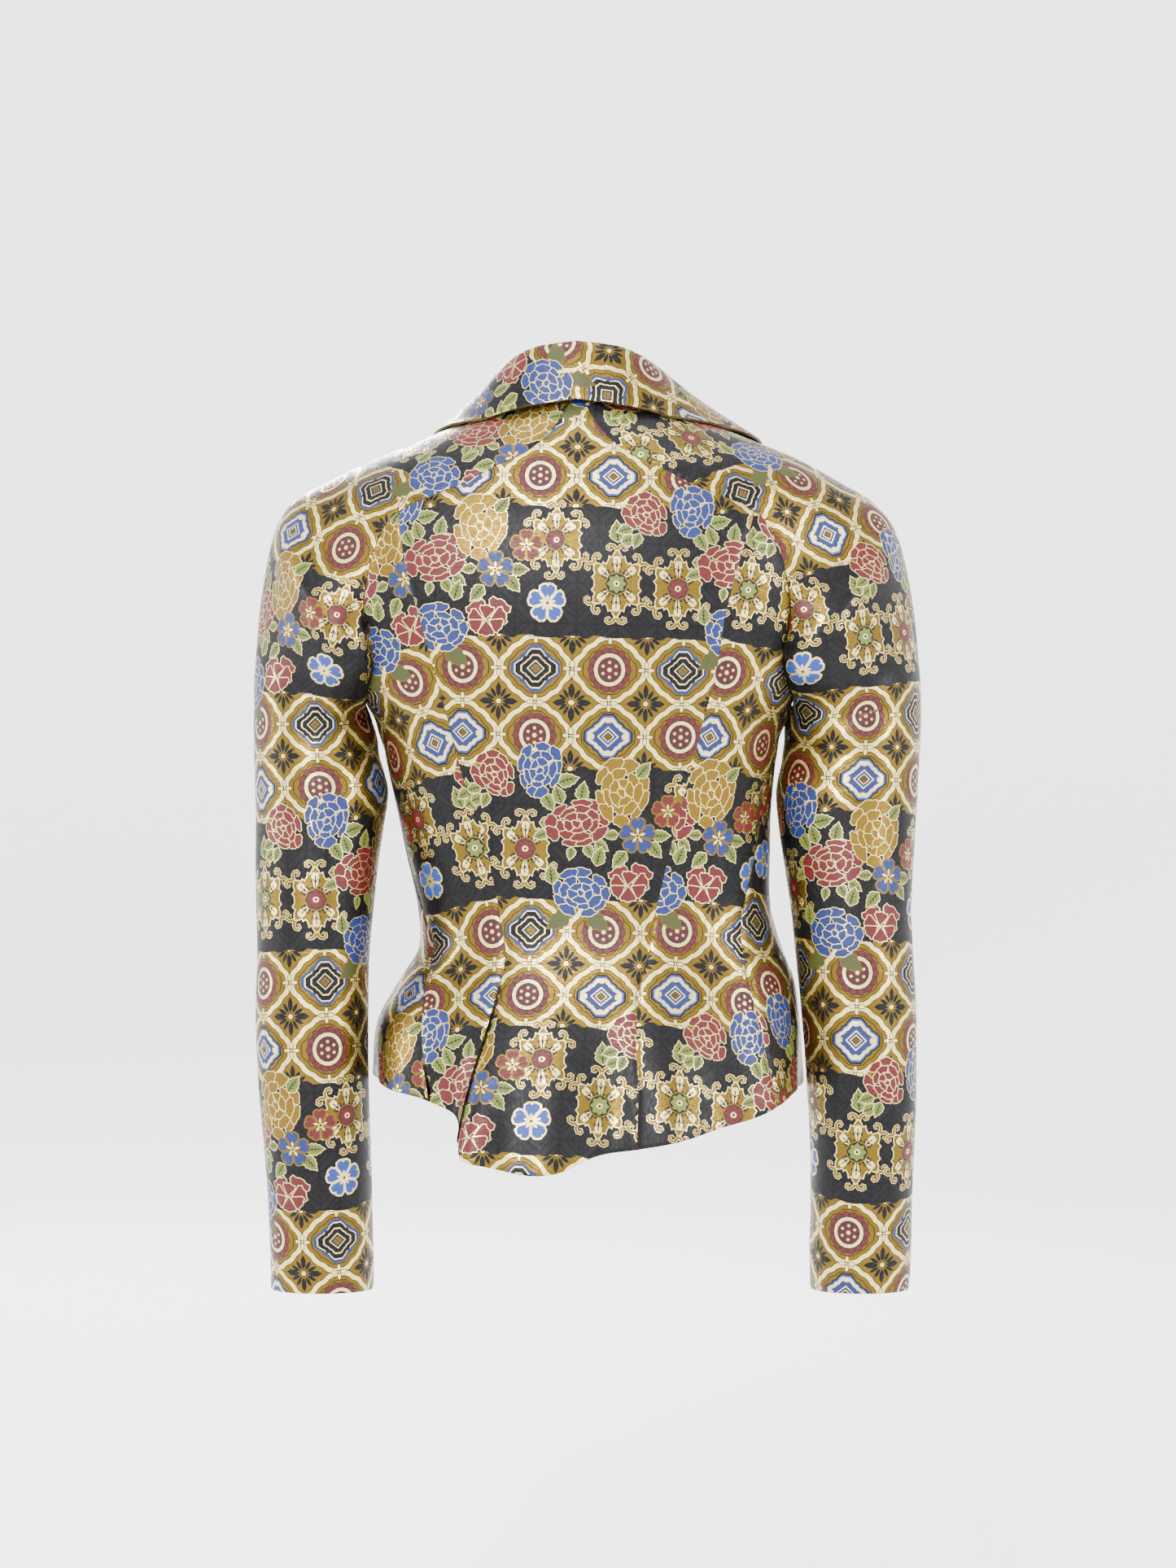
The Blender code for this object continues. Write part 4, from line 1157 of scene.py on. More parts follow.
class Cloth:
    """One cut piece: its form and its flat shape, both in mm, as grids with the same points."""

    def __init__(self, points, edges, middle):
        """Takes a grid of points, the kind of its four edges and a point inside the garment."""
        points = evened(points / MM)
        lengths = [
            np.linalg.norm(np.diff(points, axis=0), axis=2).sum(0).max(),
            np.linalg.norm(np.diff(points, axis=1), axis=2).sum(1).max(),
        ]
        fine = [step_lines(length, count - 1) for length, count in zip(lengths, points.shape)]
        flat, coarse = flattened(points)
        back = [np.interp(line, at, np.arange(len(at))) for line, at in zip(fine, coarse)]
        form = resampled(points, *fine)
        centre = (form.shape[0] // 2, form.shape[1] // 2)
        away = out_of(form, 1)
        turn = 1 if np.dot(away[centre], form[centre] - np.array(middle) / MM) > 0 else -1
        away = away * turn
        stand = folded(form, away)
        for axis in (0, 1):
            steps = np.linalg.norm(np.diff(form, axis=axis), axis=2)
            first = np.zeros_like(np.take(steps, [0], axis))
            run = np.cumsum(np.concatenate([first, steps], axis), axis)
            for kind, far in zip(edges[2 * axis:], (run, run.max(axis, keepdims=True) - run)):
                depth, width = EDGE_ROLLS[kind]
                stand = stand - depth * np.exp(-((far / width) ** 2))
        self.form = drawn_in(form + away * stand[..., None], SEAM_GAP / MM)
        self.away, self.turn = out_of(self.form, turn), turn
        self.flat = resampled(flat, *back) * (turn, 1)
        tile_a, tile_b = self.form[1:, 1:] - self.form[:-1, :-1], self.form[1:, :-1] - self.form[:-1, 1:]
        self.area = float(np.linalg.norm(np.cross(tile_a, tile_b), axis=-1).sum() / 2)

    def lay(self, turn, right, up):
        """Turns the flat shape and moves it to where it is cut from the cloth, and keeps a search tree."""
        self.cut = turned(self.flat.reshape(-1, 2) * DRAWN_LARGER, turn) + (right, up)
        across, along = self.form.shape[:2]
        index = np.arange(across * along).reshape(across, along)
        a, b, c, d = tile_corners(index)
        self.tris = np.concatenate([np.stack((a, b, c), -1), np.stack((a, c, d), -1)])
        spots = np.concatenate([self.cut, np.zeros((len(self.cut), 1))], -1)
        self.tree = BVHTree.FromPolygons(spots.tolist(), self.tris.tolist())

    def rim(self):
        """Indices of the points round the edge."""
        across, along = self.form.shape[:2]
        index = np.arange(across * along).reshape(across, along)
        rim = np.concatenate([index[:-1, 0], index[-1, :-1], index[:0:-1, -1], index[0, :0:-1]])
        return rim[::self.turn]

    def inner(self, start, step):
        """Indices of points inside the edge, every step-th one."""
        across, along = self.form.shape[:2]
        index = np.arange(across * along).reshape(across, along)
        return index[start:-start:step, start:-start:step].ravel()

    def lifted(self, spots):
        """Places in space and outward directions for spots on the laid shape."""
        tri = self.tris[[self.tree.find_nearest((u, v, 0.0))[2] for u, v in spots]]
        a, b, c = (self.cut[tri[:, k]] for k in range(3))
        ab, ac, ap = b - a, c - a, spots - a
        whole = ab[:, 0] * ac[:, 1] - ab[:, 1] * ac[:, 0]
        s = ((ap[:, 0] * ac[:, 1] - ap[:, 1] * ac[:, 0]) / whole)[:, None]
        t = ((ab[:, 0] * ap[:, 1] - ab[:, 1] * ap[:, 0]) / whole)[:, None]
        form, away = self.form.reshape(-1, 3), self.away.reshape(-1, 3)
        place, out = (
            value[tri[:, 0]] * (1 - s - t) + value[tri[:, 1]] * s + value[tri[:, 2]] * t
            for value in (form, away)
        )
        return place, unit(out)


def figures_on(cloth):
    """Outlines and inks of the figures that fall on a laid piece, those behind first."""
    low, high = cloth.cut.min(0), cloth.cut.max(0)
    for group in motifs():
        for j in range(int(low[1] // REPEAT[1]) - 1, int(high[1] // REPEAT[1]) + 3):
            shift = REPEAT[0] / 2 * (j % 2)
            for i in range(int((low[0] - shift) // REPEAT[0]) - 2, int((high[0] - shift) // REPEAT[0]) + 3):
                for at, reach, layers in group:
                    spot = np.array(at) + (i * REPEAT[0] + shift, j * REPEAT[1])
                    if cloth.tree.find_nearest((*spot, 0.0), reach)[0] is not None:
                        for shape, ink in layers:
                            yield counterclockwise(shape) + spot, ink


def counterclockwise(shape):
    """The outline, turned so that its inside is on the left."""
    onward = np.roll(shape, -1, 0)
    area = np.sum(shape[:, 0] * onward[:, 1] - shape[:, 1] * onward[:, 0])
    return shape if area > 0 else shape[::-1]


def cut_up(points, edges, faces, near):
    """Splits overlapping outlines into triangles, each with the outlines that it lies in."""
    spots, _, tris, sources, _, owners = delaunay_2d_cdt([Vector(p) for p in points], edges, faces, 0, near)
    return np.array([tuple(p) for p in spots]), tris, sources, owners


def seen_outlines(spots, tris, inks):
    """For each corner of a cut sheet's rim and of its figures' seen outlines, the corners it is joined to."""
    pairs = np.sort(np.concatenate([tris[:, (0, 1)], tris[:, (1, 2)], tris[:, (2, 0)]]), axis=1)
    codes = pairs[:, 0] * len(spots) + pairs[:, 1]
    order = np.argsort(codes, kind="stable")
    codes, side, pairs = codes[order], np.tile(inks, 3)[order], pairs[order]
    first = np.append(True, codes[1:] != codes[:-1])
    shared = np.append(codes[:-1] == codes[1:], False)
    alike = shared & np.append(side[:-1] == side[1:], False)
    near = {}
    for a, b in pairs[first & ~alike].tolist():
        near.setdefault(a, set()).add(b)
        near.setdefault(b, set()).add(a)
    rim, places = set(pairs[first & ~shared].ravel().tolist()), spots.tolist()
    for corner in list(near):
        if corner in rim or len(near[corner]) != 2:
            continue
        a, b = near[corner]
        (ax, ay), (bx, by), (x, y) = places[a], places[b], places[corner]
        off = abs((bx - ax) * (y - ay) - (by - ay) * (x - ax))
        if b not in near[a] and off < STRAIGHT * math.hypot(bx - ax, by - ay):
            del near[corner]
            near[a] = near[a] - {corner} | {b}
            near[b] = near[b] - {corner} | {a}
    return near


def figured(cloth, ground):
    """A laid piece cut along its figures' edges: flat corners, triangles facing up, and inks."""
    rim = cloth.rim()
    points, faces, layers = cloth.cut[rim].tolist(), [list(range(len(rim)))], [INKS.index(ground)]
    for shape, ink in figures_on(cloth):
        faces.append(list(range(len(points), len(points) + len(shape))))
        layers.append(INKS.index(ink))
        points += shape.tolist()
    spots, tris, _, owners = cut_up(points, [], faces, CUT_NEAR)
    kept = [k for k, own in enumerate(owners) if 0 in own]
    inks = np.array([layers[max(owners[k])] for k in kept])
    tris = facing_up(spots, [tris[k] for k in kept])
    below = BVHTree.FromPolygons(np.insert(spots, 2, 0.0, axis=1).tolist(), tris.tolist())
    near = seen_outlines(spots, tris, inks)
    at = {old: new for new, old in enumerate(near)}
    edges = [(at[a], at[b]) for a in near for b in near[a] if a < b]
    points = spots[list(near)].tolist() + cloth.cut[cloth.inner(1, 1)].tolist()
    spots, tris, _, owners = cut_up(points, edges, [[at[corner] for corner in edge_loop(tris)]], CUT_NEAR)
    tris = facing_up(spots, [tri for tri, own in zip(tris, owners) if own])
    used, face = np.unique(tris, return_inverse=True)
    spots, face = spots[used], face.reshape(-1, 3)
    middles = np.insert(spots[face].mean(1), 2, 0.0, axis=1)
    return spots, face, [int(inks[below.find_nearest(middle)[2]]) for middle in middles.tolist()]


def facing_up(spots, tris):
    """The triangles, each turned counterclockwise."""
    tris = np.array(tris)
    a, b, c = (spots[tris[:, k]] for k in range(3))
    turn = (b[:, 0] - a[:, 0]) * (c[:, 1] - a[:, 1]) - (b[:, 1] - a[:, 1]) * (c[:, 0] - a[:, 0])
    tris[turn < 0] = tris[turn < 0][:, ::-1]
    return tris


def edge_loop(tris):
    """The vertices along the edge of a sheet of triangles, in order."""
    edges = np.concatenate([tris[:, (0, 1)], tris[:, (1, 2)], tris[:, (2, 0)]])
    size = int(tris.max()) + 1
    codes, counter = edges[:, 0] * size + edges[:, 1], edges[:, 1] * size + edges[:, 0]
    rim = edges[~np.isin(codes, counter)]
    onward = dict(rim.tolist())
    loop = [int(rim[0, 0])]
    while onward[loop[-1]] != loop[0]:
        loop.append(onward[loop[-1]])
    if len(loop) != len(rim):
        raise RuntimeError("the edge of a cut piece isn't one loop")
    return loop


def woven(name, cloth, ground="gold"):
    """A wall of brocade: its face split along the figures' edges, its reverse, and the rim between."""
    spots, face, slots = figured(cloth, ground)
    loop = edge_loop(face)
    ring = spots[loop]
    sparse = cloth.cut[cloth.inner(4, 2)]
    back_points = np.concatenate([ring, sparse]).tolist()
    around = [list(range(len(ring)))]
    back_spots, back_tris, sources, owners = cut_up(back_points, [], around, CUT_NEAR / 10)
    back = facing_up(back_spots, [tri for tri, own in zip(back_tris, owners) if own])
    first = len(spots)
    under = {old: first + new for new, olds in enumerate(sources) for old in olds}
    place, away = cloth.lifted(spots)
    back_place, back_away = cloth.lifted(back_spots)
    back_place = back_place - back_away * (WALL / MM)
    quads = []
    for k, a in enumerate(loop):
        b = loop[(k + 1) % len(loop)]
        quads.append((b, a, under[k], under[(k + 1) % len(loop)]))
    every = face.tolist() + (back[:, ::-1] + first).tolist() + quads
    slots += [len(INKS)] * (len(back) + len(quads))
    all_places = np.concatenate([place, back_place]) * MM
    mesh = bpy.data.meshes.new(name)
    mesh.from_pydata(all_places.tolist(), [], every)
    mesh.polygons.foreach_set("material_index", slots)
    mesh.polygons.foreach_set("use_smooth", [True] * len(every))
    corners = np.empty(len(mesh.loops), int)
    mesh.loops.foreach_get("vertex_index", corners)
    flat = np.concatenate([spots, back_spots])
    mesh.uv_layers.new(name="Cloth").data.foreach_set("uv", (flat[corners] * MM).ravel())
    out = np.concatenate([away, -back_away])[corners]
    rim_from = 3 * (len(face) + len(back))
    quad = np.array(quads)
    corner = all_places[quad[:, 0]]
    sides = unit(np.cross(all_places[quad[:, 1]] - corner, all_places[quad[:, 3]] - corner))
    out[rim_from:] = np.repeat(sides, 4, axis=0)
    mesh.normals_split_custom_set(out.tolist())
    return mesh


def linear(code):
    """A linear RGBA colour from an sRGB hex value."""
    parts = [int(code[k:k + 2], 16) / 255 for k in (1, 3, 5)]
    return tuple(p / 12.92 if p <= 0.04045 else ((p + 0.055) / 1.055) ** 2.4 for p in parts) + (1.0,)


def add(tree, kind, settings=None, links=None):
    """Adds a node, sets its attributes or its sockets' values, and links sources to its sockets."""
    node = tree.nodes.new(kind)
    for key, value in (settings or {}).items():
        if isinstance(key, str) and hasattr(node, key):
            setattr(node, key, value)
        else:
            node.inputs[key].default_value = value
    for key, source in (links or {}).items():
        tree.links.new(source, node.inputs[key])
    return node.outputs[0]


def material(name, settings):
    """A new material, its node tree and its Principled shader with these values on its own sockets."""
    made = bpy.data.materials.new(name)
    made.use_nodes = True
    tree = made.node_tree
    shader = tree.nodes["Principled BSDF"]
    for key, value in settings.items():
        shader.inputs[key].default_value = value
    return made, tree, shader


# A lame brocade: satin ground, and floats of silk and of gilt thread that lie across it.
THREAD = 1.1  # millimetres across a drawn thread; the real ones, a quarter of that, are too fine to show
FLOAT = 5.0  # millimetres that a drawn thread runs on top before it dips
FRET = 21.0  # millimetres from one lozenge of the damask to the next; coarser than the real one, to show
FRET_RINGS = 3.0
FRET_GAP = 0.06  # share of a lozenge that the fret stays clear of its diagonals


def laid_threads(tree, turn):
    """Streaks as long as a float and as broad as a thread, at an angle to the cloth's length."""
    flat = add(tree, "ShaderNodeUVMap", {"uv_map": "Cloth"})
    size = (1 / (FLOAT * MM), 1 / (THREAD * MM), 1)
    turned_to = add(tree, "ShaderNodeMapping", {"Rotation": (0, 0, math.radians(turn))}, {"Vector": flat})
    drawn = add(tree, "ShaderNodeMapping", {"Scale": size}, {"Vector": turned_to})
    return add(tree, "ShaderNodeTexNoise", {"Scale": 1.0, "Detail": 2.0, "Roughness": 0.6}, {"Vector": drawn})


def finish_threads(tree, shader, streak, rise, rough, spread):
    """Lets the streaks change the gloss and stand up from the cloth by rise in mm."""
    span = {"From Min": 0.35, "From Max": 0.65, "To Min": rough - spread, "To Max": rough + spread}
    gloss = add(tree, "ShaderNodeMapRange", span, {"Value": streak})
    bump = add(tree, "ShaderNodeBump", {"Strength": 1.0, "Distance": rise * MM}, {"Height": streak})
    tree.links.new(gloss, shader.inputs["Roughness"])
    tree.links.new(bump, shader.inputs["Normal"])


def silk(name, colour):
    """Coloured silk wefts in short floats over the ground: a soft sheen with fine streaks along them."""
    settings = {"Base Color": tuple(colour), "Specular IOR Level": 0.25, "IOR": 1.5}
    made, tree, shader = material(name, settings)
    finish_threads(tree, shader, laid_threads(tree, 0), 0.22, 0.5, 0.14)
    return made


def metal_thread(name, colour, rough, rise):
    """Flat gilt thread on a silk core: it glints in short streaks wherever it faces a light."""
    settings = {"Base Color": tuple(colour), "Metallic": 0.85}
    made, tree, shader = material(name, settings)
    finish_threads(tree, shader, laid_threads(tree, 12), rise, rough, 0.18)
    return made


def black_satin(name, colour, fret_painted_sheen):
    """Warp satin with lozenges of nested squares, the cloth's own damask, which shows by its gloss; here the
    lozenges are painted a lighter black as painted sheen, and their roughness stays that of the ground.
    """
    made, tree, shader = material(name, {"IOR": 1.5, "Specular IOR Level": 0.12})
    flat = add(tree, "ShaderNodeUVMap", {"uv_map": "Cloth"})
    size = 1 / (FRET * MM)
    settings = {"Rotation": (0, 0, math.radians(45)), "Scale": (size, size, 1)}
    laid = add(tree, "ShaderNodeMapping", settings, {"Vector": flat})
    cell = add(tree, "ShaderNodeVectorMath", {"operation": "FRACTION"}, {"Vector": laid})
    middle = add(tree, "ShaderNodeVectorMath", {"operation": "SUBTRACT", 1: (0.5, 0.5, 0)}, {0: cell})
    away = add(tree, "ShaderNodeVectorMath", {"operation": "ABSOLUTE"}, {0: middle})
    parts = add(tree, "ShaderNodeSeparateXYZ", {}, {0: away}).node
    ring = add(tree, "ShaderNodeMath", {"operation": "MAXIMUM"}, {0: parts.outputs[0], 1: parts.outputs[1]})
    many = add(tree, "ShaderNodeMath", {"operation": "MULTIPLY", 1: 2 * FRET_RINGS}, {0: ring})
    part = add(tree, "ShaderNodeMath", {"operation": "FRACT"}, {0: many})
    drawn = add(tree, "ShaderNodeMath", {"operation": "GREATER_THAN", 1: 0.5}, {0: part})
    ends = {0: parts.outputs[0], 1: parts.outputs[1]}
    diagonal = add(tree, "ShaderNodeMath", {"operation": "SUBTRACT"}, ends)
    near = add(tree, "ShaderNodeMath", {"operation": "ABSOLUTE"}, {0: diagonal})
    kept = add(tree, "ShaderNodeMath", {"operation": "GREATER_THAN", 1: FRET_GAP}, {0: near})
    # the damask's own fret pattern, where the lighter black of the painted sheen goes
    fret_sheen_mask = add(tree, "ShaderNodeMath", {"operation": "MULTIPLY"}, {0: drawn, 1: kept})
    ends = {"data_type": "RGBA", 6: tuple(colour), 7: tuple(fret_painted_sheen)}
    mixed = add(tree, "ShaderNodeMix", ends, {0: fret_sheen_mask}).node
    tree.links.new(mixed.outputs[2], shader.inputs["Base Color"])
    streak = laid_threads(tree, 90)
    finish_threads(tree, shader, streak, 0.12, 0.46, 0.1)
    return made


# Roughness of each metal thread, and how far in mm its floats stand up.
METALS = {"gold": (0.42, 0.3), "cream": (0.34, 0.4), "bronze": (0.5, 0.2), "tan": (0.42, 0.3)}


def brocade_materials(colours):
    """The cloth's materials in the order of INKS, and its reverse last."""
    made = []
    for ink in INKS:
        name = "jacket " + ink + " weft"
        if ink == "black":
            # the second colour is the fret's painted sheen: a lighter black in place of the damask's gloss
            made.append(black_satin(name, colours[ink], linear("#0d0d0f")))
        elif ink in METALS:
            made.append(metal_thread(name, colours[ink], *METALS[ink]))
        else:
            made.append(silk(name, colours[ink]))
    return made + [silk("jacket reverse", linear("#3d2f16"))]


# The cut pieces: what each edge is (first and last across, first and last along), and how the piece lies
# on the cloth: degrees turned, then millimetres right and up.
PIECE_COLUMNS = ("name", "edges", "turn", "right", "up")
BODY_EDGES = ("sewn", "sewn", "free", "sewn")
FRONT_EDGES = ("sewn", "free", "free", "sewn")
SLEEVE_EDGES = ("sewn", "sewn", "sewn", "free")
PIECE_ROWS = (
    ("back_centre", BODY_EDGES, -1.2, 161.8, -48.1),
    ("back_side_left", BODY_EDGES, -3.1, 213.6, -45.9),
    ("back_side_right", BODY_EDGES, 0.3, 101.7, -52.8),
    ("front_side_left", BODY_EDGES, -1.9, 74.6, -10.6),
    ("front_side_right", BODY_EDGES, 3.9, 167.6, -26.5),
    ("front_left", FRONT_EDGES, -7.0, 91.4, 21.0),
    ("front_right", FRONT_EDGES, 5.4, 117.4, 21.0),
    ("sleeve_back_left", SLEEVE_EDGES, 176.7, 46.0, 59.0),
    ("sleeve_back_right", SLEEVE_EDGES, -174.5, 124.5, 47.7),
    ("sleeve_front_left", SLEEVE_EDGES, -171.0, 126.3, -33.8),
    ("sleeve_front_right", SLEEVE_EDGES, 169.4, 87.7, -44.5),
    ("collar_fall", ("free", "free", "free", "free"), 51.1, 187.7, -74.4),
    ("collar_stand", ("free", "free", "sewn", "free"), 40.0, 0.0, -60.0),
)


def form_of(name):
    """The piece's grid of outer points in metres, and a point on its inner side."""
    side = -1 if name.endswith("_right") else 1
    if name == "back_centre":
        return on_body(back_centre_grid()), BODY_MIDDLE
    if name.startswith("back_side"):
        return on_body(back_side_grid(side), side), BODY_MIDDLE
    if name.startswith("front_side"):
        return on_body(front_side_grid(side), side), BODY_MIDDLE
    if name.startswith("front"):
        return on_body(front_grid(side), side), BODY_MIDDLE
    if name == "collar_fall":
        return fall_grid(), NECK_MIDDLE
    if name == "collar_stand":
        return stand_grid(), NECK_MIDDLE
    return sleeve_grid(side, name.split("_")[1]), (side * 0.2, 0.01, -0.3)


def laid_cloth(name):
    """The piece's form, flattened and laid on the cloth."""
    row = dict(zip(PIECE_COLUMNS, next(row for row in PIECE_ROWS if row[0] == name)))
    form, middle = form_of(name)
    cloth = Cloth(form, row["edges"], middle)
    cloth.lay(row["turn"], row["right"], row["up"])
    return cloth


def link(name, mesh):
    """A new object of this mesh in the scene."""
    made = bpy.data.objects.new(name, mesh)
    bpy.context.scene.collection.objects.link(made)
    return made


def sew_in(name):
    """Makes one piece of brocade in its solid's place and hides the solid."""
    cloth = laid_cloth(name)
    made = link(name + "_brocade", woven(name + "_brocade", cloth))
    for finish in brocade_set():
        made.data.materials.append(finish)
    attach(made, "root")
    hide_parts(name)
    return made


def brocade_set():
    """The cloth's materials, made once from the panel's colours."""
    cloth = bpy.context.scene.jacket_cloth
    names = [ink + " weft" for ink in INKS] + ["reverse"]
    if bpy.data.materials.get("jacket " + names[0]) is None:
        return brocade_materials({ink: getattr(cloth, ink) for ink in INKS})
    return [bpy.data.materials["jacket " + name] for name in names]


def colour(name, code, words):
    """A colour setting of the panel."""
    return FloatVectorProperty(
        name=name, description=words, subtype="COLOR", size=4, min=0, max=1, default=linear(code)
    )


class JacketCloth(bpy.types.PropertyGroup):
    """The brocade's colours."""

    black: colour("Black", "#040405", "Satin ground of the black bands")
    gold: colour("Gold", "#5a470f", "Metal thread ground of the gold bands")
    cream: colour("Cream", "#c4b274", "Pale metal thread that outlines the figures")
    bronze: colour("Bronze", "#1e1505", "Dark metal thread in the outlines")
    tan: colour("Tan", "#614b12", "Metal thread of the gold peonies")
    red: colour("Red", "#430406", "Silk of the red flowers")
    dark_red: colour("Dark red", "#240304", "Silk of the medallions' ground")
    blue: colour("Blue", "#0a1c4c", "Silk of the blue flowers")
    light_blue: colour("Light blue", "#173070", "Silk of the small blue flowers")
    navy: colour("Navy", "#05091a", "Silk of the blue medallions' edge")
    leaf: colour("Leaf", "#4d571a", "Silk of the leaves")
    olive: colour("Olive", "#2c300a", "Silk of the darker leaves")
    stitch: FloatProperty(
        name="Buttonhole stitch",
        description="From one stitch of a buttonhole to the next",
        default=0.6 * MM,
        min=0.3 * MM,
        unit="LENGTH",
    )


class JacketStage(bpy.types.PropertyGroup):
    """The floor's colour and height."""

    pale: colour("Floor", "#f2f2f3", "Pale paper of the floor and the wall behind")
    floor: FloatProperty(name="Floor height", description="Height of the floor", default=-1.05, unit="LENGTH")


class JACKET_OT_body(bpy.types.Operator):
    """Cuts the back, the side backs, the side fronts and the fronts"""

    bl_idname = "jacket.body"
    bl_label = "Body"

    def execute(self, context):
        sew_in("back_centre")
        for end in ("_left", "_right"):
            sew_in("back_side" + end)
            sew_in("front_side" + end)
            sew_in("front" + end)
        return {"FINISHED"}


class JACKET_OT_sleeves(bpy.types.Operator):
    """Cuts the raglan sleeves, each in a back and a front half"""

    bl_idname = "jacket.sleeves"
    bl_label = "Sleeves"

    def execute(self, context):
        for end in ("_left", "_right"):
            for half in ("back", "front"):
                sew_in("sleeve_" + half + end)
        return {"FINISHED"}


class JACKET_OT_collar(bpy.types.Operator):
    """Cuts the collar's outer leaf and its stand"""

    bl_idname = "jacket.collar"
    bl_label = "Collar"

    def execute(self, context):
        sew_in("collar_fall")
        sew_in("collar_stand")
        return {"FINISHED"}


BUTTONHOLE_FROM, BUTTONHOLE_LONG = -2.5, 21.0  # millimetres from the button's middle, and its length
BUTTONHOLE_WIDE = 0.7
BUTTON_EDGE = 0.88  # share of the way out to the cover's edge where the dome ends
BUTTON_POINTS = 15
BUTTON_LAYS = ((44.4, -8.4), (21.0, -80.2), (82.8, -32.4))  # millimetres, on the flower each one shows


def button_seat(z):
    """Where a button stands on the right front: its seat, its directions, and the front's search tree."""
    front = search_tree([on_body(front_grid(-1), -1)])
    centre = body(-180.0, float(z), lap(-180.0, -1))
    out = body_away(np.array(-180.0), np.array(float(z)), -1)
    across = np.array([1.0, 0.0, 0.0])
    up = np.cross(across, out)
    above = centre + out * BUTTON_RISE
    turns = np.linspace(0, 2 * math.pi, BUTTON_SEGMENTS, endpoint=False)
    circle = [across * math.cos(a) + up * math.sin(a) for a in turns]
    falls = [front.ray_cast(Vector(above + BUTTON_RADIUS * p), Vector(-out))[3] for p in circle + [out * 0]]
    return above + out * (BUTTON_CLEAR - min(falls)), across, up, out, front


def button_cover(z):
    """A square grid of points drawn over the button's dome and down its side."""
    seat, across, up, out, _ = button_seat(z)
    u, v = np.meshgrid(*[np.linspace(-1, 1, BUTTON_POINTS)] * 2, indexing="ij")
    x, y = u * np.sqrt(1 - v * v / 2), v * np.sqrt(1 - u * u / 2)
    far = np.hypot(x, y)
    climb = math.pi / 2 * (1 - np.clip(far / BUTTON_EDGE, 0, 1))
    down = np.clip((far - BUTTON_EDGE) / (1 - BUTTON_EDGE), 0, 1)
    rise = BUTTON_RISE * (BUTTON_SIDE * (1 - down) + (1 - BUTTON_SIDE) * np.sin(climb))
    radius = (BUTTON_RADIUS * np.cos(climb) / np.maximum(far, 1e-6))[..., None]
    flat = radius * (x[..., None] * across + y[..., None] * up)
    return seat + flat + rise[..., None] * out


def covered_button(name, z, lay):
    """Draws a round of brocade over a button."""
    cloth = Cloth(button_cover(z), ("free",) * 4, BODY_MIDDLE)
    cloth.lay(0, *lay)
    made = link(name + "_cover", woven(name + "_cover", cloth))
    for finish in brocade_set():
        made.data.materials.append(finish)
    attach(made, "root")
    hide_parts(name)


def buttonhole_path(z):
    """Points round a slit on the right front, and there the directions away from it and out."""
    seat, across, up, out, front = button_seat(z)
    half = math.pi / 2
    ends = [(BUTTONHOLE_LONG, np.linspace(-half, half, 7)), (0.0, np.linspace(half, 3 * half, 7))]
    spots, ways = [], []
    for start, turns in ends:
        for t in turns:
            way = -across * math.cos(t) + up * math.sin(t)
            spot = seat - across * (BUTTONHOLE_FROM + start) * MM + way * BUTTONHOLE_WIDE * MM
            hit = front.ray_cast(Vector(spot + out * BUTTON_RISE), Vector(-out))
            spots.append(np.array(hit[0]))
            ways.append(way)
    return spots, ways, out


def stitch_tree(finish):
    """Nodes that set a thread over the cloth's edge at every step along a path."""
    tree = bpy.data.node_groups.new("worked stitches", "GeometryNodeTree")
    sockets = (("Step", 0.6 * MM), ("Reach", 2.0 * MM), ("Thread", 0.28 * MM))
    tree.interface.new_socket("Geometry", in_out="INPUT", socket_type="NodeSocketGeometry")
    for label, value in sockets:
        made = tree.interface.new_socket(label, in_out="INPUT", socket_type="NodeSocketFloat")
        made.subtype, made.default_value = "DISTANCE", value
    tree.interface.new_socket("Geometry", in_out="OUTPUT", socket_type="NodeSocketGeometry")
    entry = tree.nodes.new("NodeGroupInput").outputs
    path = add(tree, "GeometryNodeMeshToCurve", {}, {"Mesh": entry["Geometry"]})
    links = {"Curve": path, "Length": entry["Step"]}
    spots = add(tree, "GeometryNodeResampleCurve", {"mode": "LENGTH"}, links)
    half = add(tree, "ShaderNodeMath", {"operation": "MULTIPLY", 1: 0.5}, {0: entry["Reach"]})
    middle = add(tree, "ShaderNodeCombineXYZ", {}, {"X": half, "Z": half})
    end = add(tree, "ShaderNodeCombineXYZ", {}, {"X": entry["Reach"]})
    sizes = {"Resolution": 5, "Start": (0, 0, 0)}
    bend = add(tree, "GeometryNodeCurveQuadraticBezier", sizes, {"Middle": middle, "End": end})
    ring = add(tree, "GeometryNodeCurvePrimitiveCircle", {"Resolution": 6}, {"Radius": entry["Thread"]})
    thread = add(tree, "GeometryNodeCurveToMesh", {"Fill Caps": True}, {"Curve": bend, "Profile Curve": ring})
    way = add(tree, "GeometryNodeInputNamedAttribute", {"data_type": "FLOAT_VECTOR", "Name": "way"})
    out = add(tree, "GeometryNodeInputNamedAttribute", {"data_type": "FLOAT_VECTOR", "Name": "out"})
    axes = {"primary_axis": "X", "secondary_axis": "Z"}
    aim = add(tree, "FunctionNodeAxesToRotation", axes, {"Primary Axis": way, "Secondary Axis": out})
    spread = {"data_type": "FLOAT", 2: 0.9, 3: 1.1, "Seed": 4}
    size = add(tree, "FunctionNodeRandomValue", spread).node.outputs[1]
    links = {"Points": spots, "Instance": thread, "Rotation": aim, "Scale": size}
    laid = add(tree, "GeometryNodeInstanceOnPoints", {}, links)
    real = add(tree, "GeometryNodeRealizeInstances", {}, {"Geometry": laid})
    done = add(tree, "GeometryNodeSetMaterial", {"Material": finish}, {"Geometry": real})
    leave = tree.nodes.new("NodeGroupOutput")
    tree.links.new(done, leave.inputs[0])
    return tree


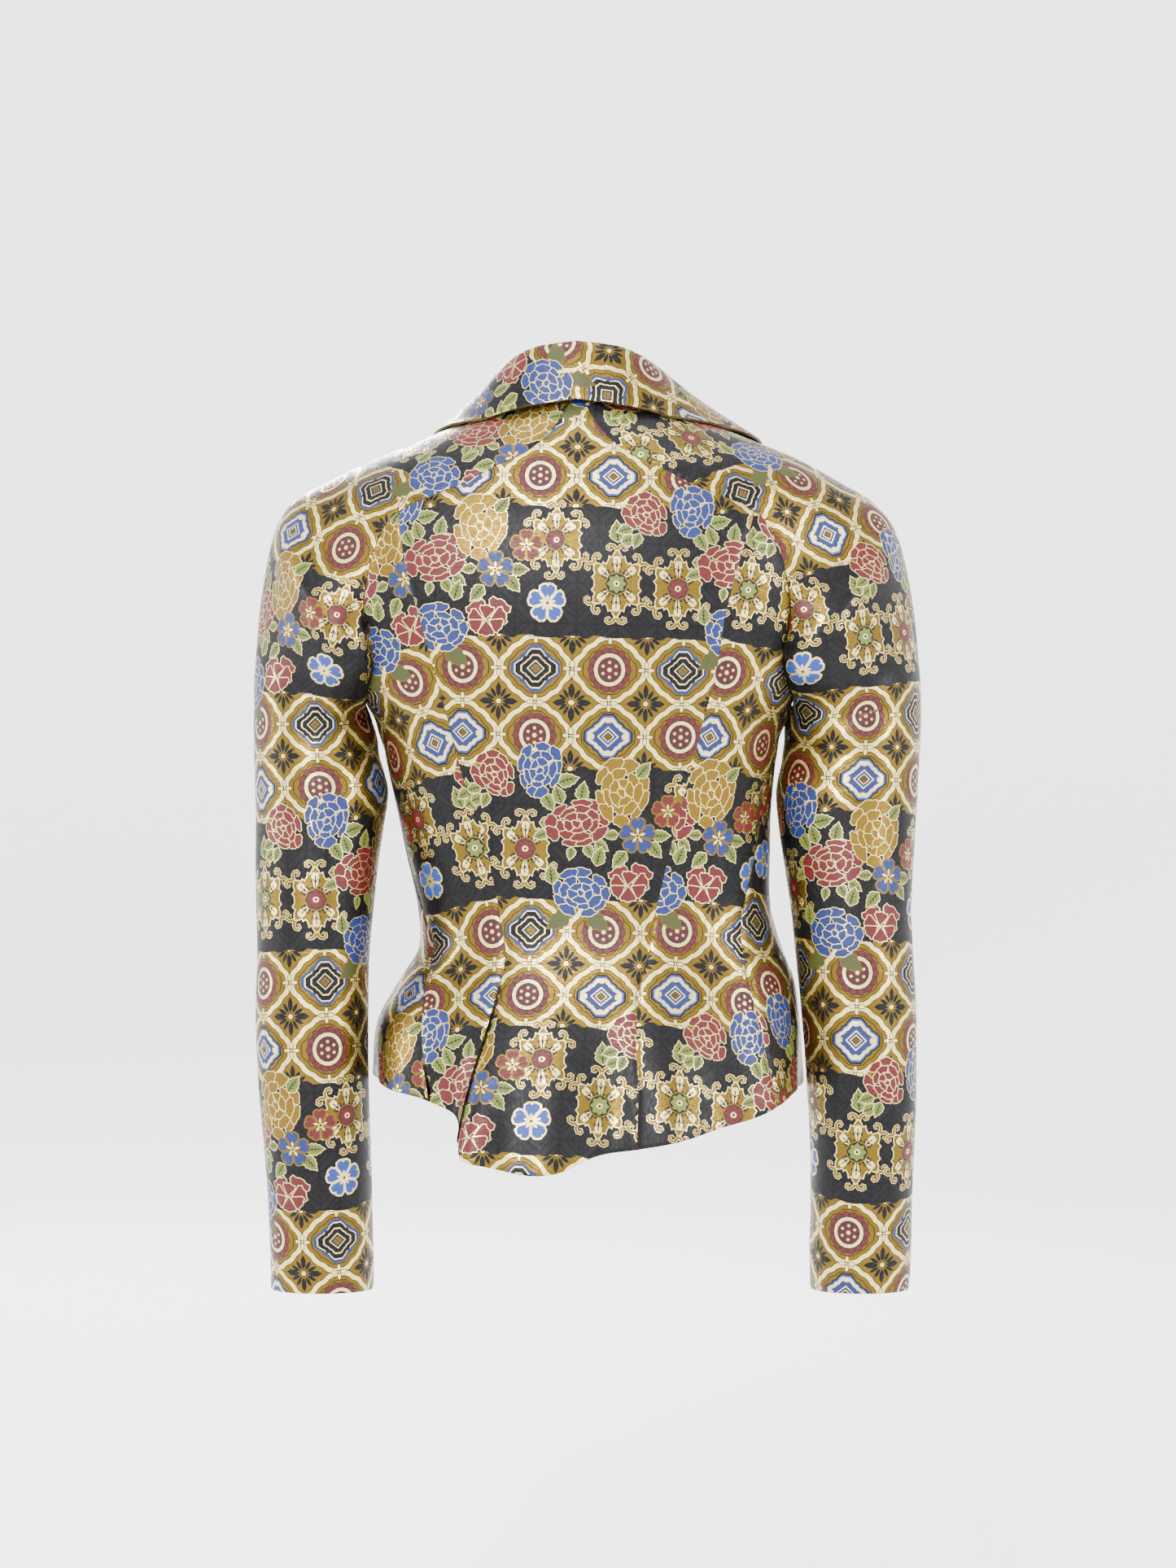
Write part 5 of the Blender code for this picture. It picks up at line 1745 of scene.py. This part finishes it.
def stitched(name, spots, ways, out, tree):
    """A closed path's stitches as a plain mesh."""
    mesh = bpy.data.meshes.new(name + "_path")
    count = len(spots)
    mesh.from_pydata([tuple(spot) for spot in spots], [(k, (k + 1) % count) for k in range(count)], [])
    for key, values in (("way", ways), ("out", [out] * count)):
        mesh.attributes.new(key, "FLOAT_VECTOR", "POINT").data.foreach_set("vector", np.ravel(values))
    guide = link(name + "_path", mesh)
    nodes = guide.modifiers.new("stitches", "NODES")
    nodes.node_group = tree
    sizes = {item.name: item for item in tree.interface.items_tree if item.in_out == "INPUT"}
    nodes[sizes["Step"].identifier] = bpy.context.scene.jacket_cloth.stitch
    seen = guide.evaluated_get(bpy.context.evaluated_depsgraph_get())
    made = link(name, bpy.data.meshes.new_from_object(seen))
    bpy.data.objects.remove(guide)
    return made


class JACKET_OT_buttons(bpy.types.Operator):
    """Covers the three buttons with the cloth and works a buttonhole beside each"""

    bl_idname = "jacket.buttons"
    bl_label = "Buttons and buttonholes"

    def execute(self, context):
        tree = stitch_tree(silk("black buttonhole twist", linear("#0b0b0c")))
        for k, (z, lay) in enumerate(zip(BUTTON_HEIGHTS, BUTTON_LAYS)):
            covered_button("button_%d" % (k + 1), z, lay)
            made = stitched("buttonhole_%d" % (k + 1), *buttonhole_path(z), tree)
            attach(made, "root")
        return {"FINISHED"}


class JACKET_OT_stage(bpy.types.Operator):
    """Sets the floor, the light and the camera"""

    bl_idname = "jacket.stage"
    bl_label = "Floor, light and camera"

    def execute(self, context):
        stage = context.scene.jacket_stage
        set_floor(stage)
        set_lights()
        set_camera(context.scene)
        return {"FINISHED"}


BOWL_RADIUS, BOWL_CORNER, BOWL_HEIGHT = 6.0, 1.5, 5.5  # metres
BOWL_SEGMENTS = 96


def set_floor(stage):
    """A round floor that turns up into a wall, so no line shows behind the garment from any side."""
    turn = np.linspace(0, math.pi / 2, 13)
    flat = BOWL_RADIUS - BOWL_CORNER
    profile = [(0.01, 0.0)] + [
        (flat + BOWL_CORNER * math.sin(t), BOWL_CORNER * (1 - math.cos(t))) for t in turn
    ] + [(BOWL_RADIUS, BOWL_HEIGHT)]
    ring = np.linspace(0, 2 * math.pi, BOWL_SEGMENTS, endpoint=False)
    points = [(r * math.cos(a), r * math.sin(a), z + stage.floor) for r, z in profile for a in ring]
    faces = [list(range(BOWL_SEGMENTS))]
    for low in range(0, (len(profile) - 1) * BOWL_SEGMENTS, BOWL_SEGMENTS):
        high = low + BOWL_SEGMENTS
        for j in range(BOWL_SEGMENTS):
            i = (j + 1) % BOWL_SEGMENTS
            faces.append((low + j, high + j, high + i, low + i))
    mesh = bpy.data.meshes.new("floor")
    mesh.from_pydata(points, [], faces)
    mesh.polygons.foreach_set("use_smooth", [True] * len(faces))
    made, _, _ = material("pale paper", {"Base Color": tuple(stage.pale), "Roughness": 0.9})
    mesh.materials.append(made)
    link("floor", mesh)


LIGHT_COLUMNS = ("name", "place", "size", "power")
LIGHT_ROWS = (
    ("softbox behind the camera", (0.9, 4.2, 1.9), 1.0, 420),
    ("softbox on the wearer's right", (-3.4, 2.0, 0.9), 0.9, 150),
    ("softbox in front", (1.0, -4.2, 1.6), 1.4, 260),
    ("softbox on the wearer's left", (3.6, 0.2, 0.7), 0.9, 120),
    ("softbox above", (0.0, 0.3, 3.4), 2.0, 150),
)
LIGHT_AIM = (0.0, 0.0, -0.3)


def set_lights():
    """Soft round lamps round the garment, and an even pale sky."""
    for row in LIGHT_ROWS:
        light = dict(zip(LIGHT_COLUMNS, row))
        lamp = bpy.data.lights.new(light["name"], "AREA")
        lamp.shape, lamp.size, lamp.energy = "DISK", light["size"], light["power"]
        made = link(light["name"], lamp)
        made.location = light["place"]
        way = Vector(LIGHT_AIM) - Vector(light["place"])
        made.rotation_euler = way.to_track_quat("-Z", "Y").to_euler()
        made.visible_camera = False
    world = bpy.context.scene.world or bpy.data.worlds.new("studio")
    bpy.context.scene.world = world
    world.use_nodes = True
    world.node_tree.nodes["Background"].inputs["Color"].default_value = (1, 1, 1, 1)
    world.node_tree.nodes["Background"].inputs["Strength"].default_value = 2.2


PHOTO_PIXEL = 0.6 * MM  # a pixel of the photo at the origin's distance
PHOTO_HEIGHT = 1927
CAMERA_PLACE = (0.0, 3.0, -0.28)


def set_camera(scene):
    """Looks level at the back, with the photo's frame height at the origin."""
    camera = bpy.data.cameras.new("camera")
    camera.sensor_fit = "VERTICAL"
    camera.angle = 2 * math.atan(PHOTO_HEIGHT * PHOTO_PIXEL / 2 / CAMERA_PLACE[1])
    made = link("camera", camera)
    made.location = CAMERA_PLACE
    made.rotation_euler = (math.pi / 2, 0, math.pi)
    scene.camera = made


class JACKET_PT_panel(bpy.types.Panel):
    """Lists the steps and their sizes."""

    bl_label = "Evening jacket"
    bl_space_type = "VIEW_3D"
    bl_region_type = "UI"
    bl_category = "Jacket"

    def draw(self, context):
        for group in (context.scene.jacket_cloth, context.scene.jacket_stage):
            for name in group.__annotations__:
                self.layout.prop(group, name)
        for step in STEPS:
            self.layout.operator(step.bl_idname)


STEPS = (JACKET_OT_body, JACKET_OT_sleeves, JACKET_OT_collar, JACKET_OT_buttons, JACKET_OT_stage)
GROUPS = {"jacket_cloth": JacketCloth, "jacket_stage": JacketStage}


def register():
    """Adds the classes and the panel's settings."""
    for name, group in GROUPS.items():
        bpy.utils.register_class(group)
        setattr(bpy.types.Scene, name, PointerProperty(type=group))
    for made in STEPS + (JACKET_PT_panel,):
        bpy.utils.register_class(made)


def unregister():
    """Takes them away again."""
    for made in STEPS + (JACKET_PT_panel,):
        bpy.utils.unregister_class(made)
    for name, group in GROUPS.items():
        delattr(bpy.types.Scene, name)
        bpy.utils.unregister_class(group)


def main():
    """Builds the jacket and its set."""
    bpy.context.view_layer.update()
    register()
    bpy.ops.jacket.body()
    bpy.ops.jacket.sleeves()
    bpy.ops.jacket.collar()
    bpy.ops.jacket.buttons()
    bpy.ops.jacket.stage()
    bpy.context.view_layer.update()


if __name__ == "__main__":
    main()
